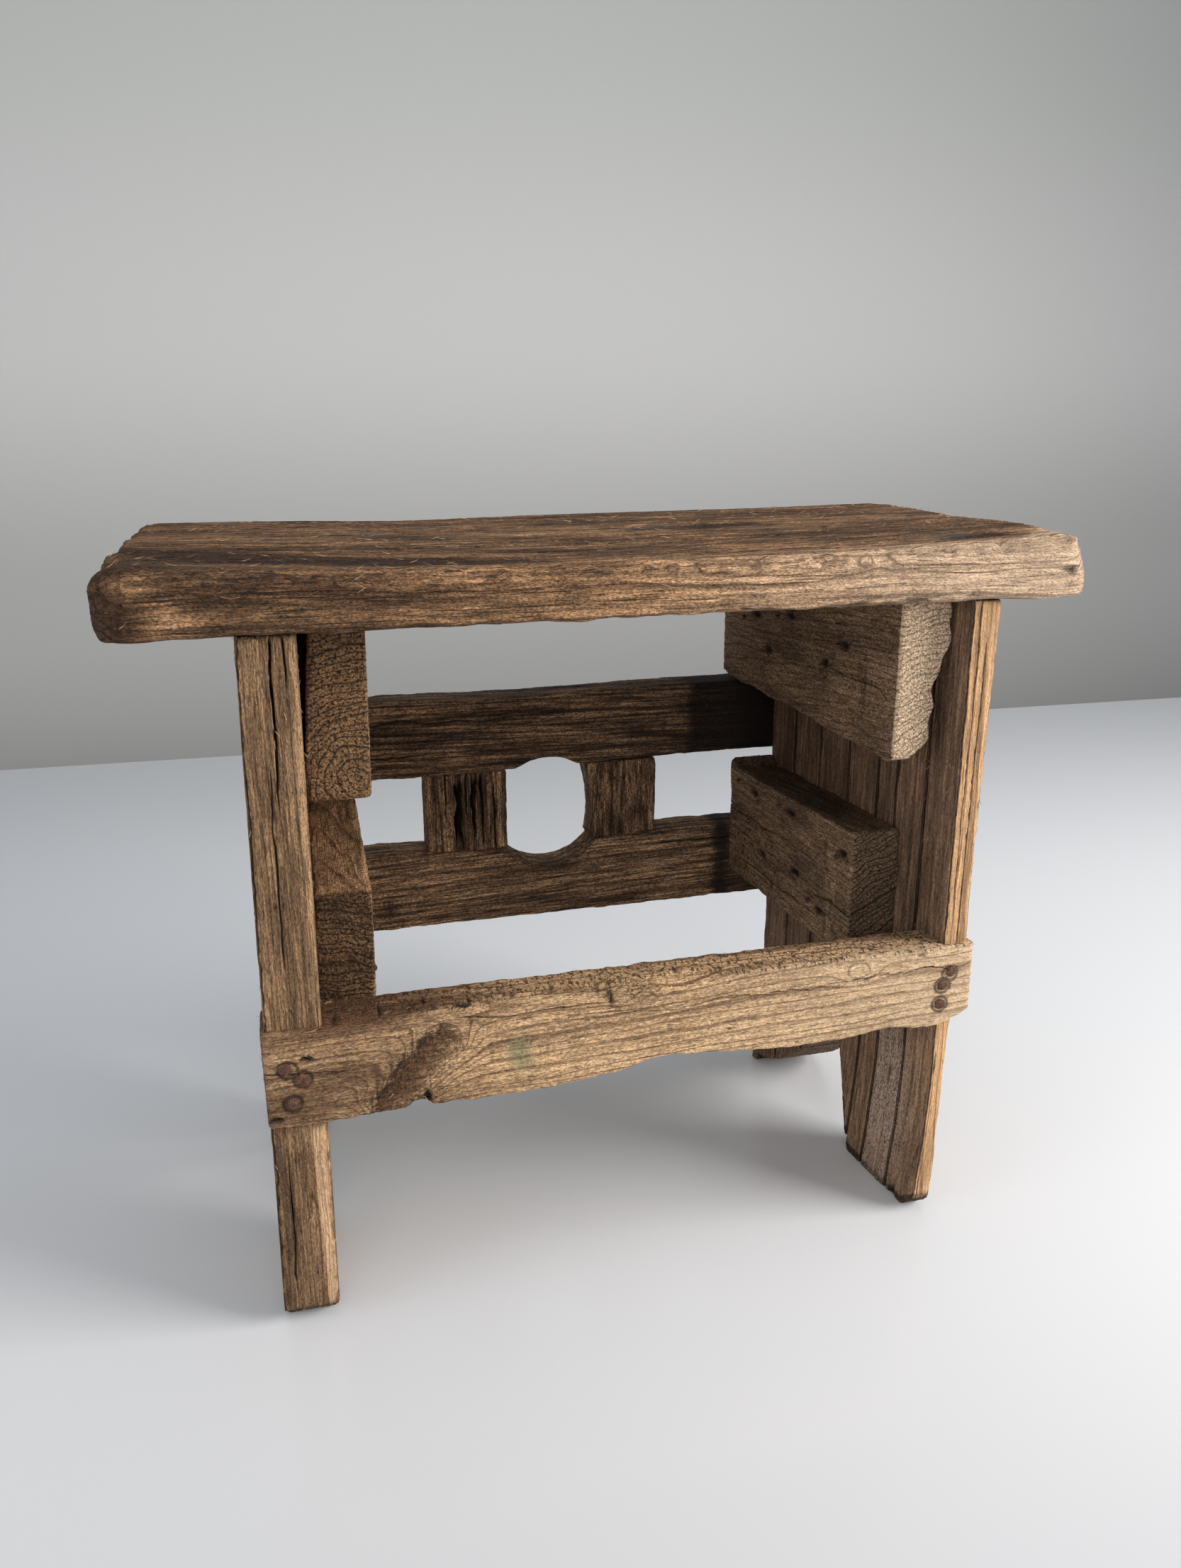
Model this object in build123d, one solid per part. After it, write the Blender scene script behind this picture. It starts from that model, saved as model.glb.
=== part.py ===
"""Nailed wooden milking stool: a plank seat on two boarded ends, tied by a stretcher and a rear frame.

Millimetres. X runs along the seat, Y from front to back, Z up. The origin is on the floor, under the
middle of the stool.
"""
from build123d import *
import os

# ---- overall -----------------------------------------------------------------------------------
seat_length = 399.0
overall_depth = 192.0
front = -overall_depth / 2            # front face of the seat plank
back = overall_depth / 2              # outermost nail heads on the rear rails

# ---- seat plank --------------------------------------------------------------------------------
seat_width = 184.0
seat_underside = 312.0
seat_top = 339.5                      # at the two ends; the middle has worn and cupped lower
seat_wear = 5.0
seat_edge_wear = 7.0                  # worn round front top edge
seat_nick = 9.0                       # a dent in the right end

# ---- boarded ends ------------------------------------------------------------------------------
ends_front = front + 5.3
ends_depth = 165.8
ends_back = ends_front + ends_depth
board_widths = [23.3, 22.0, 15.6, 25.7, 27.5, 25.8, 25.9]     # front to back
board_gap = 0.3

right_inner_front = 151.5             # inner face of the right end at its front edge
right_yaw = 0.126                     # how far the inner face turns in, per unit of depth
right_outer_front = 165.5
right_outer_back = 165.0
wane_depth = 8.5                      # bark edge missing from the outside of the front boards
wane_shares = [1.0, 0.6, 0.25]
wane_top = 146.0

left_inner_top = -133.0
left_inner_floor = -138.3
left_outer_top = -155.5
left_outer_floor = -162.5

foot_corner = 6.0                     # worn bevel on the front of each front foot
notch_front_y = -32.6                 # rear edge of the front foot, on the floor
notch_apex = (-6.8, 72.0)             # top of the arch between the feet, as y and z
notch_sweep = (22.0, 32.0)            # half way down the sweep of the rear foot
notch_back_y = ends_back - 6.5        # front edge of the rear foot, on the floor
toe_height = 5.5

# ---- front stretcher ---------------------------------------------------------------------------
stretcher_front = ends_front - 2.0
stretcher_thick = 21.9
stretcher_back = stretcher_front + stretcher_thick
stretcher_low = 103.0
stretcher_top = 149.8
stretcher_left = -160.8
stretcher_right = 166.2

# ---- rear frame --------------------------------------------------------------------------------
nail_proud = 0.9
rail_thick = back - nail_proud - ends_back
rail_back = ends_back + rail_thick
upper_rail_low = 202.0
upper_rail_top = 244.0
lower_rail_low = 113.0
lower_rail_top = 156.0
hand_hole_x = -2.8
hand_hole_z = 174.5
hand_hole_r = 32.5
block_left = (-71.5, -26.5)
block_right = (17.5, 60.5)
block_hollow = 5.5
split_depth = 13.0

# ---- cleats ------------------------------------------------------------------------------------
cleat_thick = 25.2
cleat_top_low = 236.5
right_cleat_rise = 10.5               # the right top cleat tapers up towards the back
low_cleat_low = 127.0
low_cleat_top = 193.0

# ---- nails -------------------------------------------------------------------------------------
head_r = 3.2
head_thick = 1.4
shank_r = 1.5
nail_length = 50.0
clench_r = 1.4
clench_length = 9.0
seat_nail_rows = (-56.0, 5.0, 58.0)
seat_nail_sunk = 4.5
left_nail_x = -144.3
stretcher_left_places = [(-152.2, 131.1), (-145.2, 125.3), (-150.1, 114.5)]
stretcher_right_places = [(155.6, 136.5), (151.3, 129.6), (150.7, 119.9)]
cleat_right_top_places = [(-50, 276), (-39.8, 281), (-17, 268), (17.2, 286), (36, 262), (53, 280)]
cleat_right_low_places = [(-40, 179), (-24.4, 143), (2, 154), (8, 185), (38.7, 183), (53.2, 186)]
skew_length = 22.0


def outline(points, plane, depth):
    """A flat outline on a plane, pushed out to a plate of the given depth."""
    return extrude(plane * make_face(Polyline(*points, close=True)), amount=depth)


def block(x0, x1, y0, y1, z0, z1):
    """A box given by its two corners."""
    return Pos((x0 + x1) / 2, (y0 + y1) / 2, (z0 + z1) / 2) * Box(x1 - x0, y1 - y0, z1 - z0)


def plate_yz(points, x0, x1):
    """An outline in Y and Z, as thick as x0 to x1."""
    return outline(points, Plane.YZ.offset(x0), x1 - x0)


def plate_xz(points, y0, y1):
    """An outline in X and Z, as thick as y0 to y1."""
    return outline(points, Plane.XZ.offset(-y1), y1 - y0)


def plate_xy(points, z0, z1):
    """An outline in X and Y, as tall as z0 to z1."""
    return outline(points, Plane.XY.offset(z0), z1 - z0)


def nail(x, y, z, direction, length=nail_length, proud=nail_proud):
    """A wire nail, its head on the surface at (x, y, z), driven along direction."""
    shaft = Cylinder(shank_r, length, align=(Align.CENTER, Align.CENTER, Align.MIN))
    head = Cylinder(head_r, head_thick, align=(Align.CENTER, Align.CENTER, Align.MIN))
    driven = Plane(origin=(x, y, z), z_dir=direction)
    return driven * (shaft + Pos(0, 0, -proud) * head)


def right_inner(y):
    """X of the right end's inner face at depth y."""
    return right_inner_front - right_yaw * (y - ends_front)


def left_inner(z):
    """X of the left end's inner face at height z."""
    return left_inner_floor + (left_inner_top - left_inner_floor) * z / seat_underside


def left_outer(z):
    """X of the left end's outer face at height z."""
    return left_outer_floor + (left_outer_top - left_outer_floor) * z / seat_underside


# ---- seat ----------------------------------------------------------------------------------------
def seat():
    """The plank: split corners, a worn front edge and a top that has worn hollow along its length."""
    half = seat_length / 2
    y_back = front + seat_width
    plan = [
        (-half + 8, front),
        (half - 3, front),
        (half, front + 4),
        (half - 1, -28),
        (half - seat_nick, -8),
        (half - seat_nick, 8),
        (half - 5, y_back - 30),
        (half - 5, y_back - 8),
        (half - 14, y_back),
        (-half + 4, y_back),
        (-half, y_back - 6),
        (-half, front + 10),
    ]
    plank = plate_xy(plan, seat_underside, seat_top)
    sag_r = (half ** 2 + seat_wear ** 2) / (2 * seat_wear)
    worn = Pos(0, 0, seat_top - seat_wear + sag_r) * Rot(90, 0, 0) * Cylinder(sag_r, 2 * overall_depth)
    plank -= worn
    edge = [
        (front, seat_top + 1),
        (front, seat_top - seat_wear - seat_edge_wear),
        (front + 2, seat_top - seat_wear - 2.5),
        (front + seat_edge_wear, seat_top - 1.5),
        (front + 2.5 * seat_edge_wear, seat_top + 1),
    ]
    return plank - plate_yz(edge, -half - 1, half + 1)


# ---- boarded ends --------------------------------------------------------------------------------
def end_blank(x0, x1):
    """A boarded end cut to its side outline, as thick as x0 to x1.

    Two feet stand either side of a lopsided arch: straight on the front foot, swept on the rear one.
    """
    front_foot = Polyline(
        (ends_back, seat_underside),
        (ends_front, seat_underside),
        (ends_front, foot_corner),
        (ends_front + 0.7 * foot_corner, 0),
        (notch_front_y, 0),
        (notch_front_y + 4.9, 10),
        notch_apex,
    )
    sweep = ThreePointArc(notch_apex, notch_sweep, (notch_back_y - 1, toe_height))
    rear_foot = Polyline(
        (notch_back_y - 1, toe_height),
        (notch_back_y, 0),
        (ends_back, 0),
        (ends_back, seat_underside),
    )
    side = make_face(front_foot + sweep + rear_foot)
    return extrude(Plane.YZ.offset(x0) * side, amount=x1 - x0)


def stretcher_housing(x0, x1, low):
    """The notch that a boarded end has for the stretcher."""
    return block(x0, x1, ends_front - 5, stretcher_back, low, stretcher_top)


def slices(end, name):
    """Cut a boarded end into its upright boards, front to back."""
    boards = {}
    y = ends_front
    for number, width in enumerate(board_widths, 1):
        cut = block(-250, 250, y + board_gap / 2, y + width - board_gap / 2, -1, seat_underside + 1)
        if number == 1:
            cut = block(-250, 250, y, y + width - board_gap / 2, -1, seat_underside + 1)
        boards[f"{name}_board_{number}"] = end & cut
        y += width
    return boards


def right_end():
    """Upright wedge-shaped boards: thin at the front, thick at the back."""
    plan = [
        (right_inner(ends_front), ends_front),
        (right_outer_front, ends_front),
        (right_outer_back, ends_back),
        (right_inner(ends_back), ends_back),
    ]
    end = end_blank(100, 200) & plate_xy(plan, 0, seat_underside)
    y = ends_front
    for width, share in zip(board_widths, wane_shares):
        wane = share * wane_depth
        waned = [
            (right_outer_front + 1, wane_top),
            (right_outer_front - 0.75 * wane, stretcher_low),
            (right_outer_front - wane, 8),
            (right_outer_front - wane, -1),
            (right_outer_front + 1, -1),
        ]
        end -= plate_xz(waned, y, y + width)
        y += width
    return end - stretcher_housing(140, 175, stretcher_low + 6.5)


def left_end():
    """Upright boards of one thickness, leaning out towards the floor."""
    leaning = [
        (left_inner(0), 0),
        (left_inner(seat_underside), seat_underside),
        (left_outer(seat_underside), seat_underside),
        (left_outer(0), 0),
    ]
    end = end_blank(-200, -100) & plate_xz(leaning, ends_front - 1, ends_back + 1)
    return end - stretcher_housing(-175, -125, stretcher_low)


# ---- front stretcher -----------------------------------------------------------------------------
def stretcher():
    """A rough sawn batten across the front, let into both ends."""
    low = stretcher_low
    face = [
        (stretcher_left, low + 0.5),
        (-119.5, low),
        (-99.5, low + 2),
        (-31.5, low + 2),
        (10.5, low + 9),
        (51.5, low + 6),
        (123.5, low + 6.5),
        (157.0, low + 6.5),
        (stretcher_right - 1.5, low + 12),
        (stretcher_right, low + 20),
        (stretcher_right, stretcher_top),
        (stretcher_left, stretcher_top),
        (stretcher_left, low + 6),
    ]
    return plate_xz(face, stretcher_front, stretcher_back)


# ---- rear frame ----------------------------------------------------------------------------------
def hand_hole(x):
    """The round cut of the hand hole, its middle at x; it bites both rails and the right block."""
    return Pos(x, rail_back, hand_hole_z) * Rot(90, 0, 0) * Cylinder(hand_hole_r, 4 * rail_thick)


def rear_rail(low, top):
    """A rail nailed across the back edges of both ends, scooped by the hand hole."""
    rail = block(left_outer(low) + 1, right_outer_back, ends_back, rail_back, low, top)
    return rail - hand_hole(hand_hole_x)


def rear_block_left():
    """Upright block, split open along its grain at the front."""
    piece = block(*block_left, ends_back + 1, rail_back, lower_rail_top, upper_rail_low)
    for x, width in ((-53.5, 4.0), (-45.0, 2.2)):
        y = ends_back + 1
        piece -= block(x - width / 2, x + width / 2, y - 1, y + split_depth, 0, seat_top)
    return piece


def rear_block_right():
    """Upright block, its left side hollowed by the hand hole."""
    piece = block(*block_right, ends_back + 1, rail_back, lower_rail_top, upper_rail_low)
    return piece - hand_hole(block_right[0] + block_hollow - hand_hole_r)


# ---- cleats --------------------------------------------------------------------------------------
def right_cleat(side, thick):
    """A cleat against the right end's inner face; side is its outline in Y and Z."""
    y0 = min(y for y, z in side)
    y1 = max(y for y, z in side)
    plan = [
        (right_inner(y0), y0),
        (right_inner(y1), y1),
        (right_inner(y1) - thick, y1),
        (right_inner(y0) - thick, y0),
    ]
    return plate_yz(side, 60, 200) & plate_xy(plan, 0, seat_top)


def left_cleat(side, thick):
    """A cleat against the left end's inner face; side is its outline in Y and Z."""
    z0 = min(z for y, z in side)
    z1 = max(z for y, z in side)
    edge = [
        (left_inner(z0), z0),
        (left_inner(z1), z1),
        (left_inner(z1) + thick, z1),
        (left_inner(z0) + thick, z0),
    ]
    return plate_yz(side, -200, -60) & plate_xz(edge, front, back)


def rectangle(y0, y1, z0, z1):
    """Four corners in Y and Z."""
    return [(y0, z0), (y1, z0), (y1, z1), (y0, z1)]


right_top_side = [
    (ends_front + 12.4, cleat_top_low + 4),
    (ends_front + 16, cleat_top_low),
    (89.0, cleat_top_low + right_cleat_rise),
    (89.0, seat_underside),
    (ends_front + 12.4, seat_underside),
]
right_low_side = [
    (-51.8, low_cleat_low),
    (66.0, low_cleat_low + 2),
    (ends_back, low_cleat_low + 4),
    (ends_back, low_cleat_top),
    (-51.8, low_cleat_top + 2),
]
left_top_side = rectangle(-64.1, ends_back, cleat_top_low, seat_underside)
left_low_side = rectangle(-53.2, ends_back, low_cleat_low - 2, low_cleat_top - 2)


# ---- nails ---------------------------------------------------------------------------------------
def stretcher_nails(places):
    """Nails through the stretcher's face into one end."""
    return [nail(x, stretcher_front, z, (0, 1, 0)) for x, z in places]


def seat_nails():
    """Nails down through the seat into the two ends, their heads driven below the surface."""
    nails = []
    for y in seat_nail_rows:
        right = (right_inner(y) + right_outer_front) / 2
        for x in (left_nail_x, right):
            nails.append(nail(x, y, seat_top - seat_nail_sunk, (0, 0, -1), proud=0))
    return nails


def rail_nails():
    """Two nails at each end of each rear rail, into the back edges of the ends."""
    nails = []
    for x in (left_nail_x - 2, 149.0):
        for low in (upper_rail_low, lower_rail_low):
            for side, rise in ((3.0, 12.0), (-3.0, 30.0)):
                nails.append(nail(x + side, rail_back, low + rise, (0, -1, 0)))
    return nails


def block_nails():
    """Skew nails in the back of each upright block, one into each rail."""
    nails = []
    y = rail_back - head_r * 0.4
    for x in (block_left[0] + 10, block_right[1] - 12):
        nails.append(nail(x, y, lower_rail_top + 6, (0, -1, -0.8), skew_length, 0))
        nails.append(nail(x, y, upper_rail_low - 6, (0, -1, 0.8), skew_length, 0))
    return nails


def clenched(start, along, inner, turn):
    """A nail driven from the outside, its point bent over and hammered flat on the cleat.

    start is the head's place, along the way it is driven, inner the distance to the cleat's face and
    turn the way the point is bent.
    """
    start = Vector(*start)
    along = Vector(*along).normalized()
    shaft = nail(start.X, start.Y, start.Z, (along.X, along.Y, along.Z), inner)
    elbow = start + along * inner
    point = Cylinder(clench_r, clench_length, align=(Align.CENTER, Align.CENTER, Align.MIN))
    return shaft + Plane(origin=elbow, z_dir=turn) * point + Pos(*elbow) * Sphere(shank_r + 0.05)


def right_clenched(places):
    """Nails through the right end's boards and a cleat; places are Y and Z."""
    nails = []
    for number, (y, z) in enumerate(places):
        outer = right_outer_front + (right_outer_back - right_outer_front) * (y - ends_front) / ends_depth
        reach = outer - right_inner(y) + cleat_thick
        turn = (0, 1, 0.25) if number % 2 else (0, -1, -0.3)
        turn = (-right_yaw * turn[1], turn[1], turn[2])
        nails.append(clenched((outer, y, z), (-1, 0, 0), reach, turn))
    return nails


def left_clenched(places):
    """Nails through the left end's boards and a cleat; places are Y and Z."""
    nails = []
    for number, (y, z) in enumerate(places):
        reach = left_inner(z) + cleat_thick - left_outer(z)
        turn = (0, 1, 0.2) if number % 2 else (0, -1, 0.35)
        nails.append(clenched((left_outer(z), y, z), (1, 0, 0), reach, turn))
    return nails


def board_rows(z_low, z_high):
    """One nail for each upright board that the cleat crosses, high and low by turns."""
    rows = []
    y = ends_front
    for number, width in enumerate(board_widths):
        middle = y + width / 2
        if middle > -50:
            rows.append((middle, z_high if number % 2 else z_low))
        y += width
    return rows


# ---- putting it together -------------------------------------------------------------------------
wood = {"seat_plank": seat()}
wood.update(slices(right_end(), "right_end"))
wood.update(slices(left_end(), "left_end"))
wood["front_stretcher"] = stretcher()
wood["rear_rail_upper"] = rear_rail(upper_rail_low, upper_rail_top)
wood["rear_rail_lower"] = rear_rail(lower_rail_low, lower_rail_top)
wood["rear_block_left"] = rear_block_left()
wood["rear_block_right"] = rear_block_right()
wood["cleat_right_top"] = right_cleat(right_top_side, cleat_thick)
wood["cleat_right_low"] = right_cleat(right_low_side, cleat_thick)
wood["cleat_left_top"] = left_cleat(left_top_side, cleat_thick)
wood["cleat_left_low"] = left_cleat(left_low_side, cleat_thick)

nails = {
    "stretcher_nails_left": stretcher_nails(stretcher_left_places),
    "stretcher_nails_right": stretcher_nails(stretcher_right_places),
    "seat_nails": seat_nails(),
    "rear_rail_nails": rail_nails(),
    "rear_block_nails": block_nails(),
    "cleat_nails_right_top": right_clenched(cleat_right_top_places),
    "cleat_nails_right_low": right_clenched(cleat_right_low_places),
    "cleat_nails_left_top": left_clenched(board_rows(262.0, 286.0)),
    "cleat_nails_left_low": left_clenched(board_rows(148.0, 174.0)),
}

# Every nail sits in its own hole in the wood.
for node, piece in wood.items():
    box = piece.bounding_box()
    for group in nails.values():
        for one in group:
            near = one.bounding_box()
            apart = (
                near.min.X > box.max.X or near.max.X < box.min.X
                or near.min.Y > box.max.Y or near.max.Y < box.min.Y
                or near.min.Z > box.max.Z or near.max.Z < box.min.Z
            )
            if not apart:
                piece = piece - one
    wood[node] = piece

os.makedirs("parts", exist_ok=True)
for node, piece in wood.items():
    export_step(piece, f"parts/{node}.step")
for node, group in nails.items():
    export_step(Compound(children=group), f"parts/{node}.step")
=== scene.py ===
# %% [markdown]
# # A weathered milking stool
# The stool is a thick plank on two boarded ends, with a stretcher in front and a slatted frame behind.
# Every board is old, rubbed and split, so the shapes are simple and the surfaces do the work. The packed
# frame gives the place of every piece. Each board is made here again, at the same place, with its wear.

# %% Load the frame
import math

import bpy
import numpy as np
from mathutils import Matrix, Vector


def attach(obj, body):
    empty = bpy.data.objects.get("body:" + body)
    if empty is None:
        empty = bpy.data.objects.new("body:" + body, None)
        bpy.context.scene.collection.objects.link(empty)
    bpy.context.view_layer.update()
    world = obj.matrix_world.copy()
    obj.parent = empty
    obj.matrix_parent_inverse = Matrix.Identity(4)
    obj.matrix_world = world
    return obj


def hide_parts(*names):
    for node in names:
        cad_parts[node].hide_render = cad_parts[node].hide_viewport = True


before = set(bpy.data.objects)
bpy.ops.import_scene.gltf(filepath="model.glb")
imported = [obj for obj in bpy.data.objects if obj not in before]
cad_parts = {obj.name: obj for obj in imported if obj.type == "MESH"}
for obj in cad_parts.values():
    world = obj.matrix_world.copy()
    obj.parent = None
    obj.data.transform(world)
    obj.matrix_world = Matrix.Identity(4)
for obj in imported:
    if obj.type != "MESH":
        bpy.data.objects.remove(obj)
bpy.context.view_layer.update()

MM = 0.001
print("nodes", len(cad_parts))

# %% [markdown]
# ## Small helpers for node trees
# Geometry Nodes and materials share most of their maths nodes. One helper adds a node, sets or links its
# inputs and returns an output, so the same recipe for grain can shape a board and colour it.


# %% Adding nodes
def feed(tree, socket, value):
    """Fill one input: a link from another node, a plain value, or None to leave it alone."""
    if isinstance(value, bpy.types.NodeSocket):
        tree.links.new(value, socket)
    elif value is not None:
        socket.default_value = value


def put(tree, kind, *values, out=0, named=None, **settings):
    """Add a node, fill its inputs in order or by name, and return one of its outputs."""
    node = tree.nodes.new(kind)
    for key, value in settings.items():
        setattr(node, key, value)
    for socket, value in zip(node.inputs, values):
        feed(tree, socket, value)
    for key, value in (named or {}).items():
        feed(tree, node.inputs[key], value)
    return node.outputs[out]


def maths(tree, operation, *values, clamp=False):
    """One step of arithmetic."""
    return put(tree, "ShaderNodeMath", *values, operation=operation, use_clamp=clamp)


def times(tree, first, *rest):
    """The product of some values."""
    return maths(tree, "MULTIPLY", first, times(tree, *rest)) if rest else first


def stretched(tree, vector, scale):
    """A vector scaled by a different amount along each axis."""
    return put(tree, "ShaderNodeVectorMath", vector, scale, operation="MULTIPLY")


def noise(tree, vector, scale, detail=2.0, rough=0.5, out=0, distortion=0.0):
    """Noise on a vector, with its own scale along each axis."""
    named = {
        "Vector": stretched(tree, vector, scale),
        "Scale": 1.0,
        "Detail": detail,
        "Roughness": rough,
        "Distortion": distortion,
    }
    return put(tree, "ShaderNodeTexNoise", named=named, out=out)


def between(tree, value, low, high):
    """0 below low, 1 above high, and a smooth step between."""
    return put(tree, "ShaderNodeMapRange", value, low, high, 0.0, 1.0, interpolation_type="SMOOTHSTEP")


print("node helpers: put, times, stretched, noise, between")


# %% [markdown]
# ## How wood grows
# A tree adds a ring each year: pale early wood, then a thin dark line of late wood. A board shows those
# rings as long lines on its faces and as arcs on its ends. So the pattern is worked out in three dimensions
# from the distance to the heart of the tree, and each board carries its own coordinates for it, as the
# attribute `grain` (along the board, then two ways across, in centimetres from the heart). A knot adds a
# hill to that distance, in the attribute `swirl`, and the lines flow round it.


# %% Growth rings
def growth(tree, grain, swirl, ring):
    """Late wood: 0 in the pale part of each ring, rising to 1 at its dark line."""
    drift = noise(tree, grain, (0.10, 0.55, 0.55), 2.0, 0.5, out=1)
    drift = put(tree, "ShaderNodeVectorMath", drift, (0.5, 0.5, 0.5), operation="SUBTRACT")
    drift = stretched(tree, drift, (0.0, 0.9, 0.9))
    bent = put(tree, "ShaderNodeVectorMath", grain, drift, operation="ADD")
    across = stretched(tree, bent, (0.0, 1.0, 1.0))
    radius = put(tree, "ShaderNodeVectorMath", across, operation="LENGTH", out=1)
    radius = maths(tree, "ADD", radius, swirl)
    years = maths(tree, "DIVIDE", radius, ring)
    uneven = put(tree, "ShaderNodeTexNoise", noise_dimensions="1D",
                 named={"W": years, "Scale": 0.37, "Detail": 1.0})
    years = maths(tree, "ADD", years, times(tree, uneven, 2.2))
    season = maths(tree, "FRACT", years)
    rising = between(tree, season, 0.68, 0.92)
    falling = between(tree, season, 1.0, 0.95)
    return times(tree, rising, falling)


print("rings ready: dark late wood ends each one")


# %% [markdown]
# ## A blank for every board
# A board could be a cube with a bevel, but a bevel is even all along and old edges aren't. So a blank starts
# as the shell of a box cut into small squares. Its edges are pulled in to a radius that swells and shrinks
# along the board, cracks are pressed in as narrow grooves, and dents as shallow bowls. Last, a `shape`
# function bends the box to the real board: a scooped edge, a slanted foot, a skewed face.


# %% Cut marks and box shells
def spaced(length, step, close=()):
    """Cut marks along a length: a step apart, but crowded at both ends and at the close places."""
    at = np.linspace(0, length, 3000)
    crowd = np.full(at.size, 1 / step)
    for place in (0, length, *close):
        crowd += 1.6 / step * np.exp(-(((at - place) / 1.8) ** 2))
    total = np.concatenate([[0], np.cumsum((crowd[1:] + crowd[:-1]) / 2 * np.diff(at))])
    return np.interp(np.linspace(0, total[-1], int(total[-1]) + 2), total, at)


def box_shell(s, a, b):
    """Points and four-sided faces of a box shell, cut at the marks s, a and b."""
    inside = np.zeros((len(s), len(a), len(b)), bool)
    inside[1:-1, 1:-1, 1:-1] = True
    index = np.full(inside.shape, -1)
    index[~inside] = np.arange((~inside).sum())
    i, j, k = np.nonzero(~inside)
    faces = []
    low_high = ((index[0], index[-1]), (index[:, 0].T, index[:, -1].T), (index[:, :, 0], index[:, :, -1]))
    for low, high in low_high:
        for grid, turn in ((low, -1), (high, 1)):
            corners = (grid[:-1, :-1], grid[1:, :-1], grid[1:, 1:], grid[:-1, 1:])
            faces.append(np.stack(corners, -1).reshape(-1, 4)[:, ::turn])
    return np.stack([s[i], a[j], b[k]], 1), np.concatenate(faces)


def unit(values):
    """Values held between 0 and 1."""
    return np.clip(values, 0, 1)


def ripple(points, wavelength, seed):
    """A smooth random swell, about -1 to 1, made of a few waves that cross."""
    dice = np.random.default_rng(seed)
    waves = dice.normal(size=(7, 3)) * 2 * np.pi / np.asarray(wavelength, float)
    return np.sin(points @ waves.T + dice.uniform(0, 2 * np.pi, 7)).mean(1) * 1.6


print("cut marks on 30 mm, 5 mm apart:", len(spaced(30, 5)))


# %% Wearing a blank
SIDES = {"a-": (1, -1), "a+": (1, 1), "b-": (2, -1), "b+": (2, 1), "s-": (0, -1), "s+": (0, 1)}


def worn_edges(points, size, radius, uneven, seed):
    """Round the edges of a box of points, and say which way is out at each of them."""
    swell = 1 + uneven * ripple(points, (28, 60, 60), seed)
    swell += 0.6 * uneven * ripple(points, (7, 30, 30), seed + 1)
    radius = radius(points) if callable(radius) else radius
    radius = np.clip(radius * np.clip(swell, 0.25, 3), 0.15, 0.45 * min(size))[:, None]
    core = np.clip(points, radius, size - radius)
    out = points - core
    out /= np.maximum(np.linalg.norm(out, axis=1), 1e-9)[:, None]
    return core + out * radius, out


def pressed(points, out, crack, seed):
    """How deep one crack presses each point in, and how much painted shade blackens it. A crack runs along
    the board on one side of it.
    """
    side, across, start, end, width, depth, wander = crack
    axis, sign = SIDES[side]
    other = 3 - axis
    lengthwise = points * (1, 0, 0)
    line = across + wander * ripple(lengthwise, (45, 1, 1), seed) * 0.7
    line += 0.25 * wander * ripple(lengthwise, (9, 1, 1), seed + 1)
    share = unit((points[:, 0] - start) / max(end - start, 1e-6))
    taper = np.sqrt(unit(4 * share * (1 - share)))
    if start < 0:
        taper = np.where(share < 0.5, 1, taper)
    if end > points[:, 0].max():
        taper = np.where(share > 0.5, 1, taper)
    gap = width * taper * (1 + 0.3 * ripple(lengthwise, (14, 1, 1), seed + 2))
    away = np.abs(points[:, other] - line) / np.maximum(gap / 2, 1e-3)
    within = (points[:, 0] > start) & (points[:, 0] < end)
    on_side = out[:, axis] * sign > 0.4
    deep = depth * taper * np.sqrt(unit(1 - away)) * within * on_side
    shade = unit(1.25 - away) * within * on_side * np.minimum(1, taper * 1.5)
    return deep, shade


def bitten(points, bite):
    """How deep a dent is and how much painted shade darkens it: a centre, a radius for each axis, a depth and
    a darkness.
    """
    centre, radii, depth, dark = bite
    away = np.linalg.norm((points - np.array(centre)) / np.array(radii), axis=1)
    away *= 1 + 0.35 * ripple(points, (4, 3, 3), int(10 * sum(centre)) % 99)
    return depth * unit(1 - away**2), dark * unit(1.7 - 1.3 * away)


print("a crack can lie on the sides", list(SIDES))


# %% [markdown]
# ## Weathering
# Rain and hands wear the soft early wood away and leave the late wood standing, sawn faces keep a fuzz of
# fibres, and end grain opens into pits. This could be one bump map, but the edges of the boards would stay
# straight against the light. So a Geometry Nodes tree moves the surface itself along its normals. Its
# inputs are the heights of each kind of relief, and it reads the same rings as the colour does.


# %% The weathering tree
def named_value(tree, name, kind="FLOAT"):
    """An attribute of the board, read inside Geometry Nodes."""
    return put(tree, "GeometryNodeInputNamedAttribute", name, data_type=kind)


def new_tree(name, inputs):
    """An empty Geometry Nodes tree with these named inputs; returns it and their sockets by name."""
    tree = bpy.data.node_groups.new(name, "GeometryNodeTree")
    for label, kind, value in inputs:
        socket = tree.interface.new_socket(label, in_out="INPUT", socket_type=kind)
        if value is not None:
            socket.default_value = value
    tree.interface.new_socket("Geometry", in_out="OUTPUT", socket_type="NodeSocketGeometry")
    entry = tree.nodes.new("NodeGroupInput")
    return tree, {label: entry.outputs[label] for label, _, _ in inputs}


def close_tree(tree, geometry, material):
    """Every tree ends here: real geometry instead of instances, and its material."""
    real = put(tree, "GeometryNodeRealizeInstances", geometry)
    painted = put(tree, "GeometryNodeSetMaterial", named={"Geometry": real, "Material": material})
    tree.links.new(painted, tree.nodes.new("NodeGroupOutput").inputs[0])


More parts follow.
